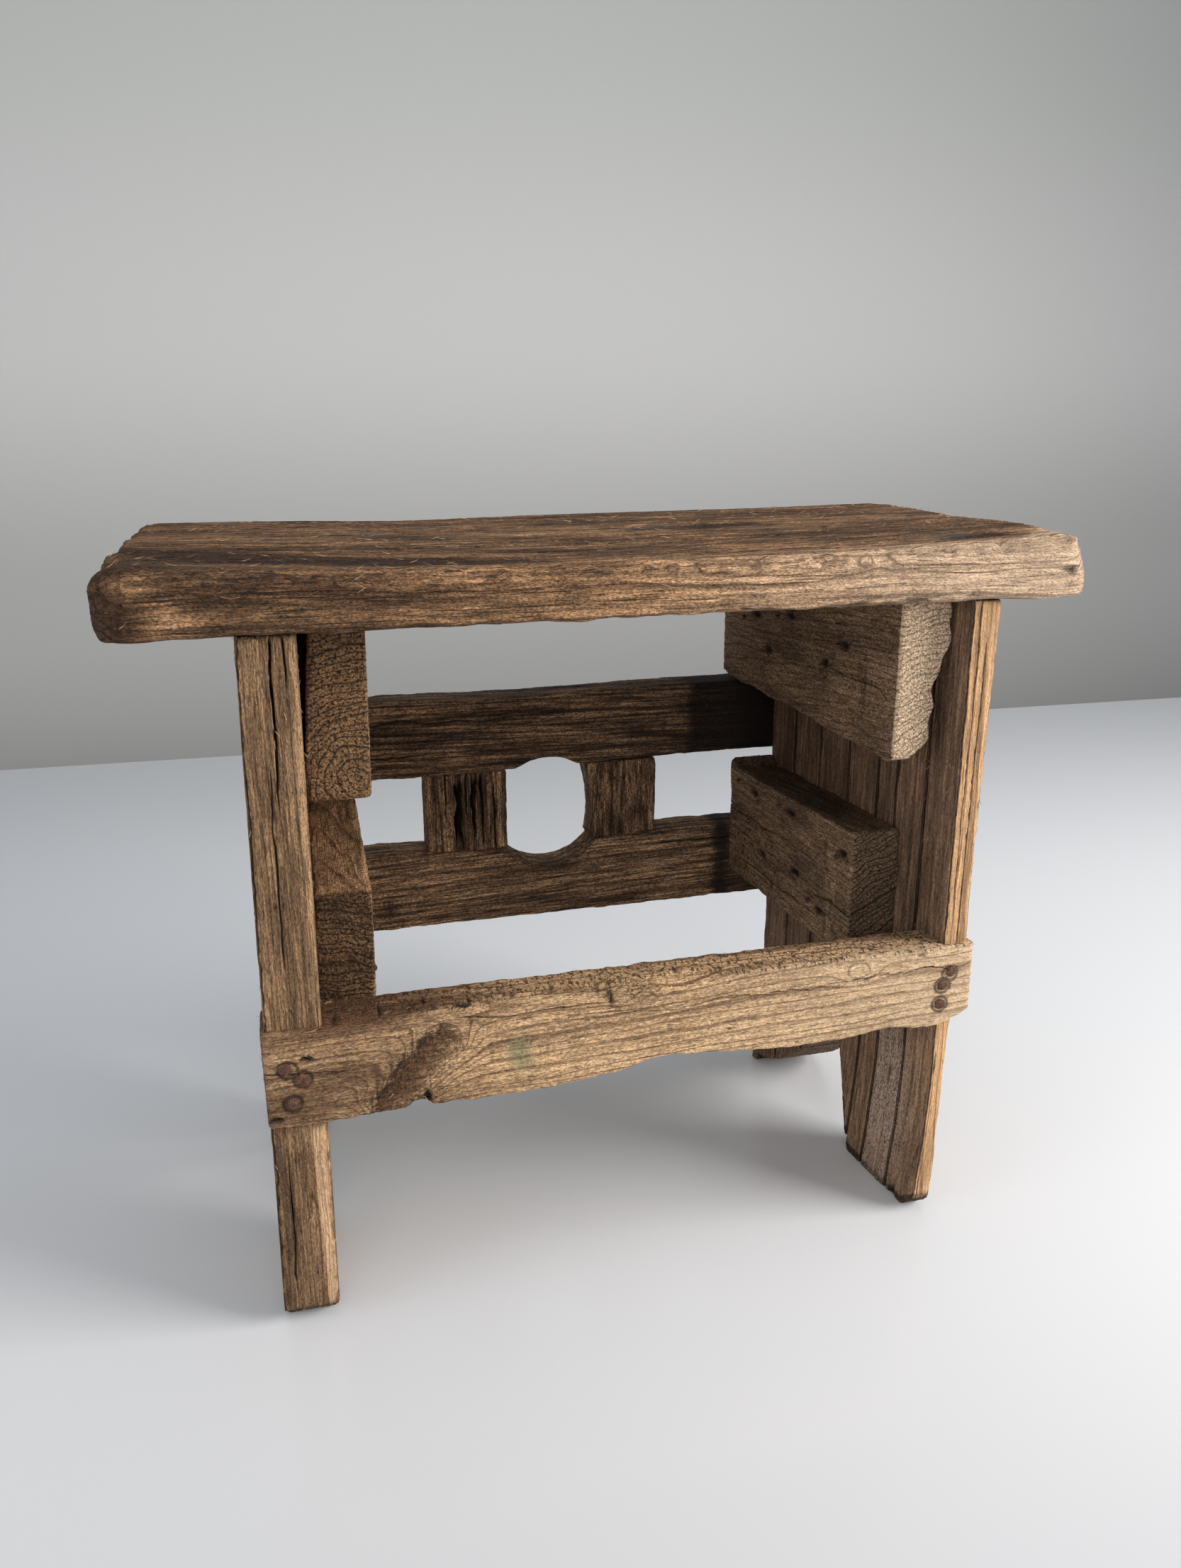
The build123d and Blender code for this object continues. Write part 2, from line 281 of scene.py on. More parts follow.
def weathering_tree():
    """Moves a board's surface along its normals: rings, fibres, torn grain, swells and open end grain."""
    inputs = [
        ("Geometry", "NodeSocketGeometry", None),
        ("Ring width", "NodeSocketFloat", 0.4),
        ("Ring relief", "NodeSocketFloat", 0.2),
        ("Fibre relief", "NodeSocketFloat", 0.2),
        ("Torn grain", "NodeSocketFloat", 0.3),
        ("Swell", "NodeSocketFloat", 0.6),
        ("End relief", "NodeSocketFloat", 0.8),
        ("Material", "NodeSocketMaterial", None),
    ]
    tree, given = new_tree("Weathering", inputs)
    grain = named_value(tree, "grain", "FLOAT_VECTOR")
    late = growth(tree, grain, named_value(tree, "swirl"), given["Ring width"])
    rings = times(tree, maths(tree, "SUBTRACT", late, 0.35), given["Ring relief"])
    fuzz = noise(tree, grain, (1.1, 13.0, 13.0), 3.0, 0.65)
    fuzz = times(tree, maths(tree, "SUBTRACT", fuzz, 0.5), given["Fibre relief"])
    torn = between(tree, noise(tree, grain, (0.9, 4.2, 4.2), 3.0, 0.6), 0.57, 0.70)
    torn = times(tree, torn, given["Torn grain"])
    swell = noise(tree, grain, (0.13, 0.35, 0.35), 2.0, 0.5)
    swell = times(tree, maths(tree, "SUBTRACT", swell, 0.5), given["Swell"])
    side = maths(tree, "ADD", maths(tree, "ADD", rings, fuzz), maths(tree, "SUBTRACT", swell, torn))
    pits = noise(tree, grain, (3.0, 8.0, 8.0), 3.0, 0.65)
    end = times(tree, maths(tree, "SUBTRACT", pits, 0.5), given["End relief"])
    height = put(tree, "ShaderNodeMix", named_value(tree, "endgrain"), None, side, end)
    height = times(tree, height, MM)
    push = put(tree, "ShaderNodeVectorMath", put(tree, "GeometryNodeInputNormal"), operation="SCALE",
               named={"Scale": height})
    moved = put(tree, "GeometryNodeSetPosition", named={"Geometry": given["Geometry"], "Offset": push})
    close_tree(tree, moved, given["Material"])
    return tree


def tree_inputs(tree):
    """The identifiers of a tree's inputs, by name."""
    return {item.name: item.identifier for item in tree.interface.items_tree if item.in_out == "INPUT"}


def run_tree(thing, tree, values):
    """Run a tree on an object, keep the result as its plain mesh and drop the modifier."""
    modifier = thing.modifiers.new(tree.name, "NODES")
    modifier.node_group = tree
    sockets = tree_inputs(tree)
    for label, value in values.items():
        modifier[sockets[label]] = value
    bpy.context.view_layer.update()
    deps = bpy.context.evaluated_depsgraph_get()
    made = bpy.data.meshes.new_from_object(thing.evaluated_get(deps), depsgraph=deps)
    thing.modifiers.clear()
    old = thing.data
    thing.data = made
    bpy.data.meshes.remove(old)
    return thing


weathering = weathering_tree()
print("weathering inputs", list(tree_inputs(weathering)))

# %% [markdown]
# ## The colour of old wood
# One recipe paints every board, with different numbers. It starts from two colours, for early and late
# wood, laid over the rings. Long fibres and large patches vary them, dirt and painted shade darken the
# hollows, cracks, dents and joints are painted near-black as shade, rubbed edges come out paler, and the
# end grain is duller and coarser. Each board's own attributes say where its ends, cracks, rubbed and
# stained places, painted light and painted shade are.


# %% Paint mixing
def mixed(tree, amount, below, above, blend="MIX"):
    """Lay one colour over another by an amount."""
    node = tree.nodes.new("ShaderNodeMix")
    node.data_type = "RGBA"
    node.blend_type = blend
    for number, value in ((0, amount), (6, below), (7, above)):
        feed(tree, node.inputs[number], value)
    return node.outputs[2]


def srgb(red, green, blue):
    """A colour given as 0 to 255 on screen, in the linear values that shaders use."""
    shown = [value / 255 for value in (red, green, blue)]
    linear = [v / 12.92 if v <= 10 / 255 else ((v + 0.055) / 1.055) ** 2.4 for v in shown]
    return (*linear, 1.0)


def darker(colour, share):
    """A colour with only a share of its brightness."""
    return (*[share * value for value in colour[:3]], 1)


def own(tree, name, out=2):
    """An attribute of the board, read inside a material: out 2 is a number, 1 a vector."""
    return put(tree, "ShaderNodeAttribute", attribute_name=name, out=out)


def new_material(name):
    """A material with its node tree, ready to be wired."""
    material = bpy.data.materials.new(name)
    material.use_nodes = True
    return material, material.node_tree


def painted(material, looks):
    """Wire a material's shader and return the material."""
    shader = material.node_tree.nodes["Principled BSDF"]
    for label, value in looks.items():
        feed(material.node_tree, shader.inputs[label], value)
    return material


def flecks(tree, grain, scale, low, high, detail=2.0):
    """Scattered marks drawn out along the grain: 1 on a mark, 0 between them."""
    return between(tree, noise(tree, grain, scale, detail, 0.55), low, high)


def weighed(tree, *pairs):
    """The sum of some values, each times its weight."""
    total = 0.0
    for value, weight in pairs:
        total = maths(tree, "MULTIPLY_ADD", value, weight, total)
    return total


def old_wood(name, early, late, pale, dark, ring, contrast=0.6, grime_and_shade=0.5, patch=0.5, rough=0.8, mosaic=0.4,
             depth=0.9, lively=1.0, mark=(0.2, 0.2, 0.2, 1), hairy=0.5, hair_run=0.3, threads=13.0,
             ends_rough=1.0, gritty=0.28):
    """Weathered wood. The four colours are early wood, late wood, a rubbed place, which also serves painted
    light, and a stained one, which also serves painted shade.

    ring is the width of a ring in centimetres. lively, gritty and hairy say how strongly the long streaks,
    the specks and the dark hairs show; threads is how fine the fibres are.
    """
    material, tree = new_material(name)
    grain = own(tree, "grain", 1)
    tone = own(tree, "tone")
    lines = growth(tree, grain, own(tree, "swirl"), ring)
    fibre = noise(tree, grain, (0.5, threads, threads), 3.0, 0.72)
    grit = noise(tree, grain, (7.0, 17.0, 17.0), 2.0, 0.65)
    streak = noise(tree, grain, (0.16, 3.8, 3.8), 3.0, 0.65)
    cloud = noise(tree, grain, (0.16, 0.55, 0.55), 4.0, 0.6)
    hairs = flecks(tree, grain, (hair_run, 12.0, 12.0), 0.61, 0.66)
    tears = flecks(tree, grain, (2.0, 8.0, 8.0), 0.63, 0.69)
    fuzz = flecks(tree, grain, (4.5, 22.0, 22.0), 0.60, 0.70)
    skips = flecks(tree, grain, (7.5, 3.4, 3.4), 0.54, 0.60, 3.0)
    skips = times(tree, skips, own(tree, "chatter"))

    strength = maths(tree, "MULTIPLY", lines, maths(tree, "MULTIPLY_ADD", streak, 1.2, 0.1), clamp=True)
    colour = mixed(tree, times(tree, strength, contrast), early, late)
    # Tone above 0 lays on the rubbed colour and below 0 the stained one; on some boards it holds painted
    # light and painted shade.
    lighter = between(tree, tone, 0.0, 1.0)
    busy = maths(tree, "MULTIPLY_ADD", lighter, -0.62, 1.0)
    rubbed_and_lit = mixed(tree, times(tree, strength, 0.7), pale, late)
    colour = mixed(tree, times(tree, lighter, 0.92), colour, rubbed_and_lit)
    stained_and_shaded = between(tree, maths(tree, "ADD", times(tree, tone, -1.0), cloud), 0.42, 1.15)
    colour = mixed(tree, stained_and_shaded, colour, dark)
    patches = times(tree, between(tree, cloud, 0.42, 0.66), patch)
    colour = mixed(tree, patches, colour, mixed(tree, 0.6, colour, dark))
    for value, spread in ((fibre, 0.30 * lively), (streak, 0.26 * lively**2), (grit, gritty)):
        less, more = 1 - 1.15 * spread, 1 + spread
        hue = mixed(tree, between(tree, value, 0.37, 0.63), (less, 0.97 * less, 0.94 * less, 1),
                    (more, 0.99 * more, 0.97 * more, 1))
        colour = mixed(tree, busy, colour, hue, "MULTIPLY")
    colour = mixed(tree, times(tree, hairs, busy, hairy), colour, darker(dark, 0.35))
    colour = mixed(tree, times(tree, tears, busy, 0.5), colour, darker(dark, 0.5))
    colour = mixed(tree, times(tree, fuzz, 0.42), colour, mixed(tree, 0.5, colour, pale))
    colour = mixed(tree, times(tree, skips, 0.8), colour, darker(dark, 0.35))

    ends = own(tree, "endgrain")
    rays = noise(tree, grain, (0.6, 11.0, 11.0), 3.0, 0.7)
    cells = put(tree, "ShaderNodeTexVoronoi", feature="DISTANCE_TO_EDGE",
                named={"Vector": stretched(tree, grain, (0.6, 3.4, 3.4)), "Scale": 1.0})
    checks = times(tree, between(tree, cells, 0.09, 0.0), mosaic)
    end_colour = mixed(tree, times(tree, lines, 0.85), mixed(tree, 0.2, early, dark), dark)
    end_colour = mixed(tree, lighter, end_colour, mixed(tree, times(tree, lines, 0.5), pale, late))
    end_hue = mixed(tree, between(tree, rays, 0.36, 0.64), (0.42, 0.40, 0.38, 1), (1.4, 1.37, 1.32, 1))
    pores = flecks(tree, grain, (2.0, 8.5, 8.5), 0.76 - 0.2 * ends_rough, 0.84 - 0.2 * ends_rough, 3.0)
    end_colour = mixed(tree, 0.95, end_colour, end_hue, "MULTIPLY")
    end_colour = mixed(tree, times(tree, pores, busy, 0.75 * ends_rough), end_colour, darker(dark, 0.3))
    end_colour = mixed(tree, times(tree, stained_and_shaded, 0.8), end_colour, dark)
    end_colour = mixed(tree, checks, end_colour, darker(dark, 0.3))
    colour = mixed(tree, ends, colour, end_colour)

    point = put(tree, "ShaderNodeNewGeometry", out=7)
    edges = times(tree, between(tree, point, 0.515, 0.60), 0.4)
    colour = mixed(tree, edges, colour, mixed(tree, 0.5, colour, pale))
    # Concave places are darkened: dirt, with painted shade in the hollows.
    hollow = times(tree, between(tree, point, 0.492, 0.42), grime_and_shade)
    colour = mixed(tree, hollow, colour, darker(dark, 0.25))
    spots = times(tree, own(tree, "mark"), between(tree, grit, 0.44, 0.56))
    colour = mixed(tree, spots, colour, mark)
    # The near-black layer is painted shade in cracks, dents, joints, splits and rings round nail heads, with
    # some stains.
    shade_and_stain_black = times(tree, own(tree, "crack"), 0.96)
    colour = mixed(tree, shade_and_stain_black, colour, (0.012, 0.008, 0.006, 1))
    rust = own(tree, "rust")
    colour = mixed(tree, times(tree, rust, 0.75), colour, srgb(62, 32, 22))

    side_rise = weighed(tree, (fibre, 0.9), (grit, 0.9), (lines, 0.3), (streak, 0.4), (hairs, -0.7),
                        (tears, -0.8), (fuzz, 0.4), (skips, -1.8))
    end_rise = weighed(tree, (rays, 2.2), (lines, 0.9), (checks, -1.4), (pores, -2.0))
    rise = put(tree, "ShaderNodeMix", ends, None, side_rise, end_rise)
    bump = put(tree, "ShaderNodeBump", named={"Strength": depth, "Distance": 0.8 * MM, "Height": rise})
    dull = put(tree, "ShaderNodeMapRange", fibre, 0.3, 0.7, rough - 0.1, min(1.0, rough + 0.12))
    looks = {"Base Color": colour, "Normal": bump, "Roughness": dull, "Specular IOR Level": 0.25}
    return painted(material, looks)


# %% The woods of this stool
# For each wood: its material's name, its slot, its ring width in centimetres, its four colours as seen on
# screen (early wood, late wood, a rubbed place that also serves painted light, a stained one that also
# serves painted shade), and what else is special about it.
WOOD_LIST = {
    "seat": ("Seat_wood", "seat_wood", 0.36, (160, 124, 91), (80, 54, 36), (220, 192, 164), (58, 37, 23),
             dict(contrast=0.9, patch=0.6, lively=1.15, mark=srgb(66, 80, 80), hairy=0.8, threads=8.0,
                  gritty=0.42)),
    "batten": ("Batten_wood", "stretcher_wood", 0.40,
               (204, 170, 132), (104, 74, 50), (224, 196, 162), (98, 70, 50),
               dict(contrast=1.0, patch=0.3, lively=0.7, mark=srgb(128, 132, 98), hairy=0.22, hair_run=0.9,
                    gritty=0.36)),
    "board": ("Board_wood", "board_wood", 0.24, (152, 122, 92), (88, 63, 45), (224, 186, 146), (66, 48, 35),
              dict(hair_run=0.9)),
    "inner": ("Inner_board_wood", "board_wood", 0.5,
              (138, 113, 92), (84, 61, 47), (226, 180, 132), (58, 43, 34),
              dict(contrast=0.5, patch=0.4, depth=0.5, mark=srgb(186, 166, 150), hair_run=0.6)),
    "frame": ("Frame_wood", "frame_wood", 0.32, (138, 110, 85), (80, 57, 41), (180, 150, 120), (44, 32, 24),
              dict(contrast=0.85, patch=0.6, lively=1.5, hair_run=0.5, gritty=0.5)),
    "cleat": ("Cleat_wood", "cleat_wood", 0.26, (152, 126, 99), (80, 60, 44), (255, 224, 190), (50, 38, 29),
              dict(contrast=0.75, patch=0.4, mosaic=0.22, lively=0.85, hair_run=0.7, gritty=0.5)),
    "amber": ("Amber_cleat_wood", "cleat_wood", 0.30,
              (176, 136, 98), (62, 44, 31), (216, 178, 140), (48, 34, 25),
              dict(contrast=0.8, mosaic=0.1, ends_rough=1.14, gritty=0.5)),
}
WOODS, SLOTS, RINGS = {}, {}, {}
for kind, (label, slot, ring, *colours, special) in WOOD_LIST.items():
    WOODS[kind] = old_wood(label, *[srgb(*colour) for colour in colours], ring, **special)
    SLOTS[kind], RINGS[kind] = slot, ring
print("woods", list(WOODS))

# %% [markdown]
# ## From blank to board
# `timber` puts the steps together for one board: cut the blank, round its edges, press in its cracks and
# dents, bend it to its real shape, write the attributes that the weathering and the colour read, and run
# the weathering. A board with its grain upright stores its height first, one with its grain along the seat
# its length, so one recipe serves them all. What is special about a board comes in as small functions of
# place: its `tone` from stained to rubbed, which on some boards also holds painted light and painted shade,
# its near-black rule of painted shade and stains, the `chatter` left by a blunt saw, and its `marks`.


# %% The timber maker
ORDER = {"x": (0, 1, 2), "y": (1, 2, 0), "z": (2, 0, 1)}      # along, then the two ways across
made_boards = {}


def plain_mesh(name, points, faces):
    """A smooth mesh from arrays, in millimetres."""
    mesh = bpy.data.meshes.new(name)
    mesh.vertices.add(len(points))
    mesh.vertices.foreach_set("co", (points * MM).astype(np.float32).ravel())
    mesh.loops.add(faces.size)
    mesh.loops.foreach_set("vertex_index", faces.astype(np.int32).ravel())
    mesh.polygons.add(len(faces))
    mesh.polygons.foreach_set("loop_start", np.arange(0, faces.size, 4, dtype=np.int32))
    mesh.update(calc_edges=True)
    mesh.polygons.foreach_set("use_smooth", np.ones(len(faces), bool))
    return mesh


def store(mesh, name, values, kind="FLOAT"):
    """Write an attribute on the points of a mesh."""
    attribute = mesh.attributes.new(name, kind, "POINT")
    field = "vector" if kind == "FLOAT_VECTOR" else "value"
    attribute.data.foreach_set(field, np.asarray(values, np.float32).ravel())


def add_object(name, data):
    """A new object in the scene."""
    thing = bpy.data.objects.new(name, data)
    bpy.context.scene.collection.objects.link(thing)
    return thing


def around(points, centre, radii):
    """A smooth round patch on some points: 1 at its centre, fading over its radii."""
    return np.exp(-np.sum(((points - np.array(centre)) / np.array(radii)) ** 2, axis=1))


def blob(*axes):
    """The same patch from a coordinate, a middle and a reach for each axis that matters."""
    return np.exp(-sum(((value - middle) / reach) ** 2 for value, middle, reach in axes))


def timber(name, wood, along, size, shape, heart, steps=(2.6, 0.75, 0.75), radius=1.2, uneven=0.6, cracks=(),
           bites=(), knots=(), slope=0.0, tone=None, rust=(), chatter=None, marks=(), soot=None, crowded=(),
           relief=None, seed=1):
    """Make one board and put it in place of its CAD node.

    size is its length and its two cross sizes; shape turns points in that box into places, in millimetres.
    heart is where the heart of the tree lies, in the two cross directions of the finished board.
    """
    size = np.array(size, float)
    close = {1: [], 2: []}
    for side, across, *_ in cracks:
        close[3 - SIDES[side][0]].append(across)
    cuts = [spaced(size[0], steps[0], crowded)] + [spaced(size[i], steps[i], close[i]) for i in (1, 2)]
    points, faces = box_shell(*cuts)
    points, out = worn_edges(points, size, radius, uneven, seed)
    deep = np.zeros(len(points))
    shade = np.zeros(len(points))
    for number, crack in enumerate(cracks):
        depth, dark = pressed(points, out, crack, seed * 31 + number)
        deep = np.maximum(deep, depth)
        shade = np.maximum(shade, dark)
    for bite in bites:
        depth, dark = bitten(points, bite)
        deep += depth
        shade = np.maximum(shade, dark)
    placed = shape(points - out * deep[:, None])

    def asked(rule):
        """What a rule says at each placed point, or 0 where the board has no such rule."""
        return rule(placed) if rule else np.zeros(len(placed))

    mesh = plain_mesh(name + "_worn", placed, faces)
    order = ORDER[along]
    whole = placed[:, order]
    grain = whole / 10 - np.array([0, heart[0] / 10, heart[1] / 10])
    grain[:, 2] += slope * whole[:, 0] / 10
    grain[:, 0] += 7.3 * seed
    store(mesh, "grain", grain, "FLOAT_VECTOR")
    swirl = np.zeros(len(points))
    for centre, radii, hill in knots:
        swirl += hill * around(placed, centre, radii)
    store(mesh, "swirl", swirl)
    store(mesh, "endgrain", unit(np.abs(out[:, 0]) * 1.6 - 0.5))
    store(mesh, "tone", asked(tone))
    store(mesh, "chatter", unit(asked(chatter)))
    stain = np.zeros(len(points))
    for centre, reach in rust:
        away = np.linalg.norm(placed - np.array(centre), axis=1)
        stain = np.maximum(stain, np.exp(-((away / reach) ** 2)))
        # A dark ring round each nail head is painted shadow, laid into the near-black layer.
        shade = np.maximum(shade, 0.85 * unit(1.3 - np.abs(away - reach) / 0.8))
    store(mesh, "rust", 0.6 * stain)
    # The near-black layer: painted shade from the cracks, dents and nail rings, and the board's own rule of
    # stains and painted shade.
    store(mesh, "crack", np.maximum(shade, unit(asked(soot))))
    spot = np.zeros(len(points))
    for centre, reach in marks:
        spot = np.maximum(spot, around(placed, centre, reach))
    store(mesh, "mark", unit(1.6 * spot))
    edge = 1 - np.max(np.abs(out), axis=1)
    store(mesh, "fray", unit(edge * 4))
    board = add_object(name + "_worn", mesh)
    values = {"Ring width": RINGS[wood], "Ring relief": 0.22, "Fibre relief": 0.35, "Torn grain": 0.35,
              "Swell": 0.5, "End relief": 1.2, "Material": WOODS[wood]}
    values.update(relief or {})
    run_tree(board, weathering, values)
    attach(board, "root")
    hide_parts(name)
    made_boards[name] = (board, wood)
    print(name, "faces", len(board.data.polygons))
    return board


def band(value, low, high, soft):
    """1 between low and high, fading to 0 over soft on each side."""
    rise = unit((value - low) / soft + 0.5)
    fall = unit((high - value) / soft + 0.5)
    return rise * fall


def through(points, column, places, values):
    """A smooth line through a few given values, read at one column of the points."""
    at, v = np.asarray(places, float), np.asarray(values, float)
    slopes = np.gradient(v, at)
    where = np.clip(points[:, column], at[0], at[-1])
    left = np.clip(np.searchsorted(at, where) - 1, 0, len(at) - 2)
    width = at[left + 1] - at[left]
    t = (where - at[left]) / width
    curve = (2 * t**3 - 3 * t**2 + 1) * v[left] + (t**3 - 2 * t**2 + t) * width * slopes[left]
    return curve + (3 * t**2 - 2 * t**3) * v[left + 1] + (t**3 - t**2) * width * slopes[left + 1]


print("attributes of a board: grain swirl endgrain tone chatter rust crack mark fray")

# %% [markdown]
# ## The seat
# The seat is one thick plank. Sitting has worn its top hollow and rubbed the front edge round, the left
# front corner has split away and the right end is dented. Its heart lies below it, so the rings run along
# the front edge as level lines and cross the top as wide, wild ones.

# %% Make the seat
FRONT, BACK = -96.0, 96.0
SEAT_LENGTH, SEAT_WIDTH, SEAT_THICK = 399.0, 184.0, 27.5
SEAT_LOW, SEAT_TOP, SEAT_WEAR = 312.0, 339.5, 5.0


def seat_shape(p):
    """The plank's box bent to its worn top and its broken ends."""
    y = FRONT + p[:, 1]
    left = -SEAT_LENGTH / 2 - 3.4 + 6 * unit((-90 - y) / 6) ** 1.5 + 3 * blob((y, 90, 5))
    left += 2.2 * blob((y, -30, 11)) - 0.8 * np.sin(y / 5) + 0.5 * np.sin(y / 1.9)
    left += 2.2 * unit((9 - p[:, 2]) / 9) ** 2 + 2.6 * unit((p[:, 2] - 20) / 8)
    right = SEAT_LENGTH / 2 + 2.4 - 2.0 * unit((-92 - y) / 4) ** 2 - 8 * blob((y, 2, 15))
    right -= 5 * band(y, 12, 120, 30) + 9 * unit((y - 78) / 10) ** 2
    x = left + (right - left) * p[:, 0] / SEAT_LENGTH
    dish = SEAT_WEAR * (1 - 0.85 * band(y, -20, 120, 90)) * (1 - (x / 199.5) ** 2)
    dish += 1.2 * blob((x, -75, 40)) * band(y, 40, 120, 60)
    low = SEAT_LOW + 1.4 * unit((-y - 88) / 8) * (1 + ripple(p * (1, 0, 0), (40, 1, 1), 5))
    return np.stack([x, y, low + (SEAT_TOP - dish - low) * p[:, 2] / SEAT_THICK], 1)


def seat_radius(p):
    """Sharp edges, but a thumb's width of wear on the front top one."""
    return 2.0 + 7.0 * unit((45 - p[:, 1]) / 20) * unit((p[:, 2] - 8) / 10)


def seat_tone(q):
    """Dark and handled at the left, rubbed pale along the front towards the right, with a painted highlight
    on the top's right front corner.
    """
    x, y = q[:, 0], q[:, 1]
    on_front = band(y, -200, -84, 14)
    along = through(q, 0, (-200, -120, -20, 60, 120, 200), (-0.55, -0.38, 0.07, 0.4, 0.62, 0.85))
    top = -0.25 + 0.3 * band(y, -90, -60, 16) * band(x, -10, 200, 60)
    # A painted highlight on the top's right front corner.
    top += 0.9 * band(x, 178, 220, 20) * band(y, -120, -66, 20)
    away = y - (-46 - 0.28 * (x + 198))     # a dark streak that slants across the top
    top -= 0.85 * np.exp(-((away / (17 - 0.04 * (x + 198))) ** 2)) * band(x, -190, 10, 60)
    top -= 0.9 * blob((x, 163, 22), (y, -76, 12))
    top -= 0.5 * blob((x, 70, 18), (y, 4, 6))
    z = q[:, 2]
    along = along + 0.75 * blob((x, -176, 10), (z, 319, 7))
    along = along + 0.35 * blob((x, -188, 8), (z, 331, 4))
    return along * on_front + top * (1 - on_front)


def seat_soot(q):
    """Wavy near-black lines along the worn top, strong in some places and gone in others."""
    flat = q * (1, 1, 0)
    phase = q[:, 1] * 1.15 + 2.2 * ripple(flat, (90, 14, 1), 7) + 0.9 * ripple(flat, (25, 6, 1), 8)
    line = unit((np.sin(phase) - 0.55) / 0.35)
    patch = unit(0.55 + 0.8 * ripple(flat, (60, 18, 1), 9))
    return 0.6 * line * patch * band(q[:, 2], 328, 360, 4) * band(q[:, 1], -84, 120, 8)


timber("seat_plank", "seat", "x", (SEAT_LENGTH, SEAT_WIDTH, SEAT_THICK), seat_shape, (10.0, 262.0),
       steps=(2.95, 1.06, 0.85), radius=seat_radius, uneven=0.3, tone=seat_tone, soot=seat_soot, slope=0.004,
       cracks=[
           ("b+", 62, -5, 250, 1.8, 3.0, 3.0),
           ("b+", 71, 60, 300, 1.3, 2.4, 2.6),
           ("b+", 83, 150, 420, 1.5, 2.6, 3.0),
           ("b+", 104, -5, 170, 1.3, 2.2, 3.0),
           ("b+", 128, 120, 330, 1.2, 2.0, 3.0),
           ("b+", 40, 20, 150, 1.0, 1.5, 2.0),
           ("b+", 30, 60, 230, 0.8, 1.2, 2.0),
           ("b+", 52, 190, 330, 0.9, 1.4, 2.5),
           ("b+", 77, -5, 120, 1.0, 1.8, 2.0),
           ("b+", 95, 220, 360, 0.9, 1.6, 2.5),
           ("b+", 116, 40, 210, 0.9, 1.5, 3.0),
           ("b+", 145, -5, 260, 0.9, 1.5, 3.0),
       ],
       bites=[((168, 36, 27.5), (2.5, 1.6, 2), 0.8, 0.0), ((253, 104, 27.5), (2.2, 2.6, 3), 1.6, 0.9),
              ((262, 100, 27.5), (9, 4, 2), 1.0, 0.5), ((392, 0, 12), (2.6, 4, 2.2), 1.2, 0.9),
              ((345, 0, 2), (4, 5, 2), 1.6, 0.5), ((318, 0, 1), (7, 4, 2), 1.4, 0.7),
              ((292, 0, 0), (5, 4, 2), 1.4, 0.7), ((230, 0, 20), (5, 4, 1), 0.8, 0.7),
              ((300, 0, 18), (8, 4, 2), 0.8, 0.3), ((250, 0, 0), (4, 4, 2), 1, 0.6)],
       knots=[((-70, 20, 339), (26, 9, 60), 0.9), ((52, 8, 339), (30, 8, 60), 1.1)],
       marks=[((-66, 32, 336), (7, 5, 9)), ((39, 5, 335), (16, 4, 9)), ((-90, 6, 335), (16, 2, 9)),
              ((150, -70, 337), (10, 4, 9))],
       relief={"Ring relief": 0.4, "Fibre relief": 0.45, "Torn grain": 0.6, "Swell": 0.7}, seed=3)

# %% [markdown]
# ## The boarded ends
# Each end is seven narrow upright boards, cut together to two feet with an arch between them. The right end
# stands askew, thin at the front and thick at the back; the left one leans out. So one height-of-foot
# function cuts every board, and each end has its own way of placing a board's thickness.

# %% Foot line and end faces
ENDS_FRONT, ENDS_BACK = -90.7, 75.1
BOARD_WIDTHS = (23.3, 22.0, 15.6, 25.7, 27.5, 25.8, 25.9)
GAP = 1.1
RIGHT_OUTER, LEFT_THICK = 165.4, 22.5


def foot_line(y):
    """Height of a boarded end's lower edge: flat feet, a straight cut, then a long sweep."""
    apex_y, apex_z = -6.8, 72.0
    toe_y, toe_z = 67.6, 5.5
    corner = np.clip((-81.5 - y) * 0.85, 0, 7.5)
    cut = np.interp(y, (-32.6, -27.7, apex_y), (0, 10, apex_z))
    turn = unit((y - apex_y) / (toe_y - apex_y))
    sweep = toe_z + (apex_z - toe_z) * (1 - turn) ** 1.75
    toe = unit((68.8 - y) / 1.2) * toe_z
    return np.where(y < apex_y, np.maximum(cut, corner), np.where(y < toe_y, sweep, toe))


def right_inner(y):
    """The right end's inner face turns in towards the back."""
    return 151.5 - 0.126 * (y - ENDS_FRONT)


def left_lean(z, top, floor):
    """The left end leans out towards the floor."""
    return floor + (top - floor) * z / SEAT_LOW


def left_inner(z):
    """The left end's inner face."""
    return left_lean(z, -133.0, -138.3)


def seam_soot(q):
    """Painted shade in the joints between the boards: a black line at each."""
    seams = ENDS_FRONT + np.cumsum(BOARD_WIDTHS[:-1])
    near = np.min(np.abs(q[:, 1, None] - seams), axis=1)
    return np.clip(1.45 - near / 0.75, 0, 1)


